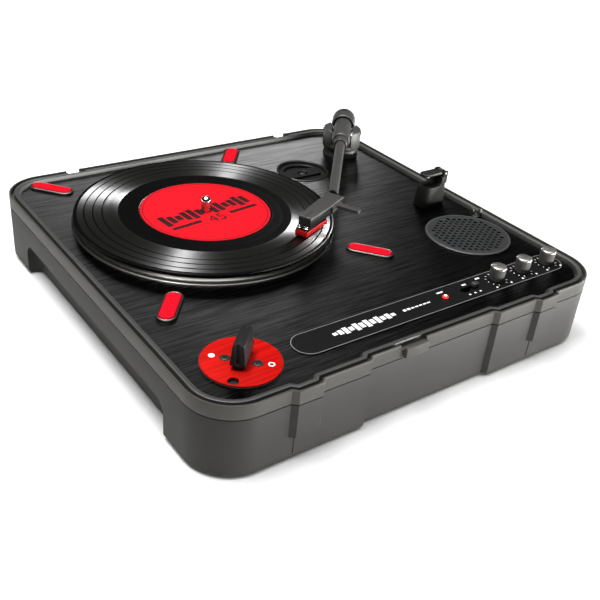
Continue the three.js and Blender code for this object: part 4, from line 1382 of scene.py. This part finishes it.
def lit_pieces(light, state, *materials):
    """The light shines on the pieces of these materials only (INCLUDE), or on all others (EXCLUDE)."""
    group = bpy.data.collections.new(f"{light.name}_pieces")
    for piece in bpy.data.objects:
        if piece.type == "MESH" and any(material.name in piece.data.materials for material in materials):
            group.objects.link(piece)
    for listed in group.collection_objects:
        listed.light_linking.link_state = state
    light.light_linking.receiver_collection = group


def dim_world():
    world = bpy.data.worlds.new("studio")
    world.use_nodes = True
    background = world.node_tree.nodes["Background"]
    background.inputs["Color"].default_value = (1, 1, 1, 1)
    background.inputs["Strength"].default_value = 0.022
    bpy.context.scene.world = world


def sky_light():
    """A wide soft sky above."""
    sun = in_scene(bpy.data.objects.new("sky_light", bpy.data.lights.new("sky_light", "SUN")))
    sun.data.energy = 2.9
    sun.data.angle = math.radians(70)
    lit_pieces(sun, "EXCLUDE", VINYL, DECK_METAL)


def gloss_lights():
    """Lights that draw the highlights on the record, the deck, the platter and the deck's edge."""
    top_strip = softbox("top_strip", (-0.34, 0.2, 1.6), (0.22, 1.4), 27, along=toward(46, 0, 1))
    lit_pieces(top_strip, "EXCLUDE", DECK_METAL)
    fan_light = softbox("fan_light", toward(68, 25, 2.0), (0.4, 0.8), 85, along=toward(-44, 0, 1))
    lit_pieces(fan_light, "INCLUDE", VINYL)
    for name, azimuth, elevation, power in SHEEN_LIGHTS:
        sheen = softbox(name, toward(azimuth, elevation, 3.0), (0.7, 0.5), power)
        lit_pieces(sheen, "INCLUDE", DECK_METAL)
    rim_light = softbox("rim_light", toward(218, 42, 1.4), (1.6, 0.4), 4)
    lit_pieces(rim_light, "INCLUDE", PLATTER_METAL)
    edge_light = softbox("edge_light", toward(165, 28, 1.6), (1.0, 0.5), 190)
    lit_pieces(edge_light, "INCLUDE", EDGE_BLACK)


def floor_and_backdrop():
    """A white floor and, past its edge, a wall in the floor's tone that only the camera sees."""
    half, wall_radius = 6000, 6500
    floor = object_from("floor", at_height(rectangle(0, 0, 2 * half, 2 * half), 0), [(0, 1, 2, 3)])
    floor.data.materials.append(shader("floor_white", (0.9, 0.9, 0.9), 0.7, Specular_IOR_Level=0.1))
    wall = circle(wall_radius, steps=60)
    backdrop = loft("backdrop", [at_height(wall, -900), at_height(wall, 9000)])
    backdrop.data.materials.append(glowing("backdrop_white", (1, 1, 1), 0.82))
    backdrop.visible_diffuse = False
    backdrop.visible_glossy = False
    backdrop.visible_transmission = False
    backdrop.visible_shadow = False


def stage():
    dim_world()
    sky_light()
    gloss_lights()
    low_strip("front_strip", (0.62, -0.70), 1.1, 22)
    low_strip("left_strip", (-0.75, 0.55), 0.8, 0.8)
    floor_and_backdrop()
    bpy.context.scene.view_settings.view_transform = "Standard"
    bpy.context.scene.view_settings.exposure = 0


# ---- the whole player
add_camera()
lower_case()
upper_case()
bezel()
deck_edge()
hinge_lugs()
deck()
control_panel()
support_pads()
side_tabs()
platter()
deck_ring()
slipmat()
record()
record_label()
spindle()
adapter_cup()
adapter_disc()
arm_base()
arm_yoke()
arm_housing()
counterweight()
arm_tube()
headshell()
cartridge()
stylus_holder()
finger_lift()
rest_post()
rest_clip()
switch_plate()
switch_marks()
switch_screws()
switch_paddle()
controls()
speaker()
feet()
rear_panel()
inner_parts()
stage()
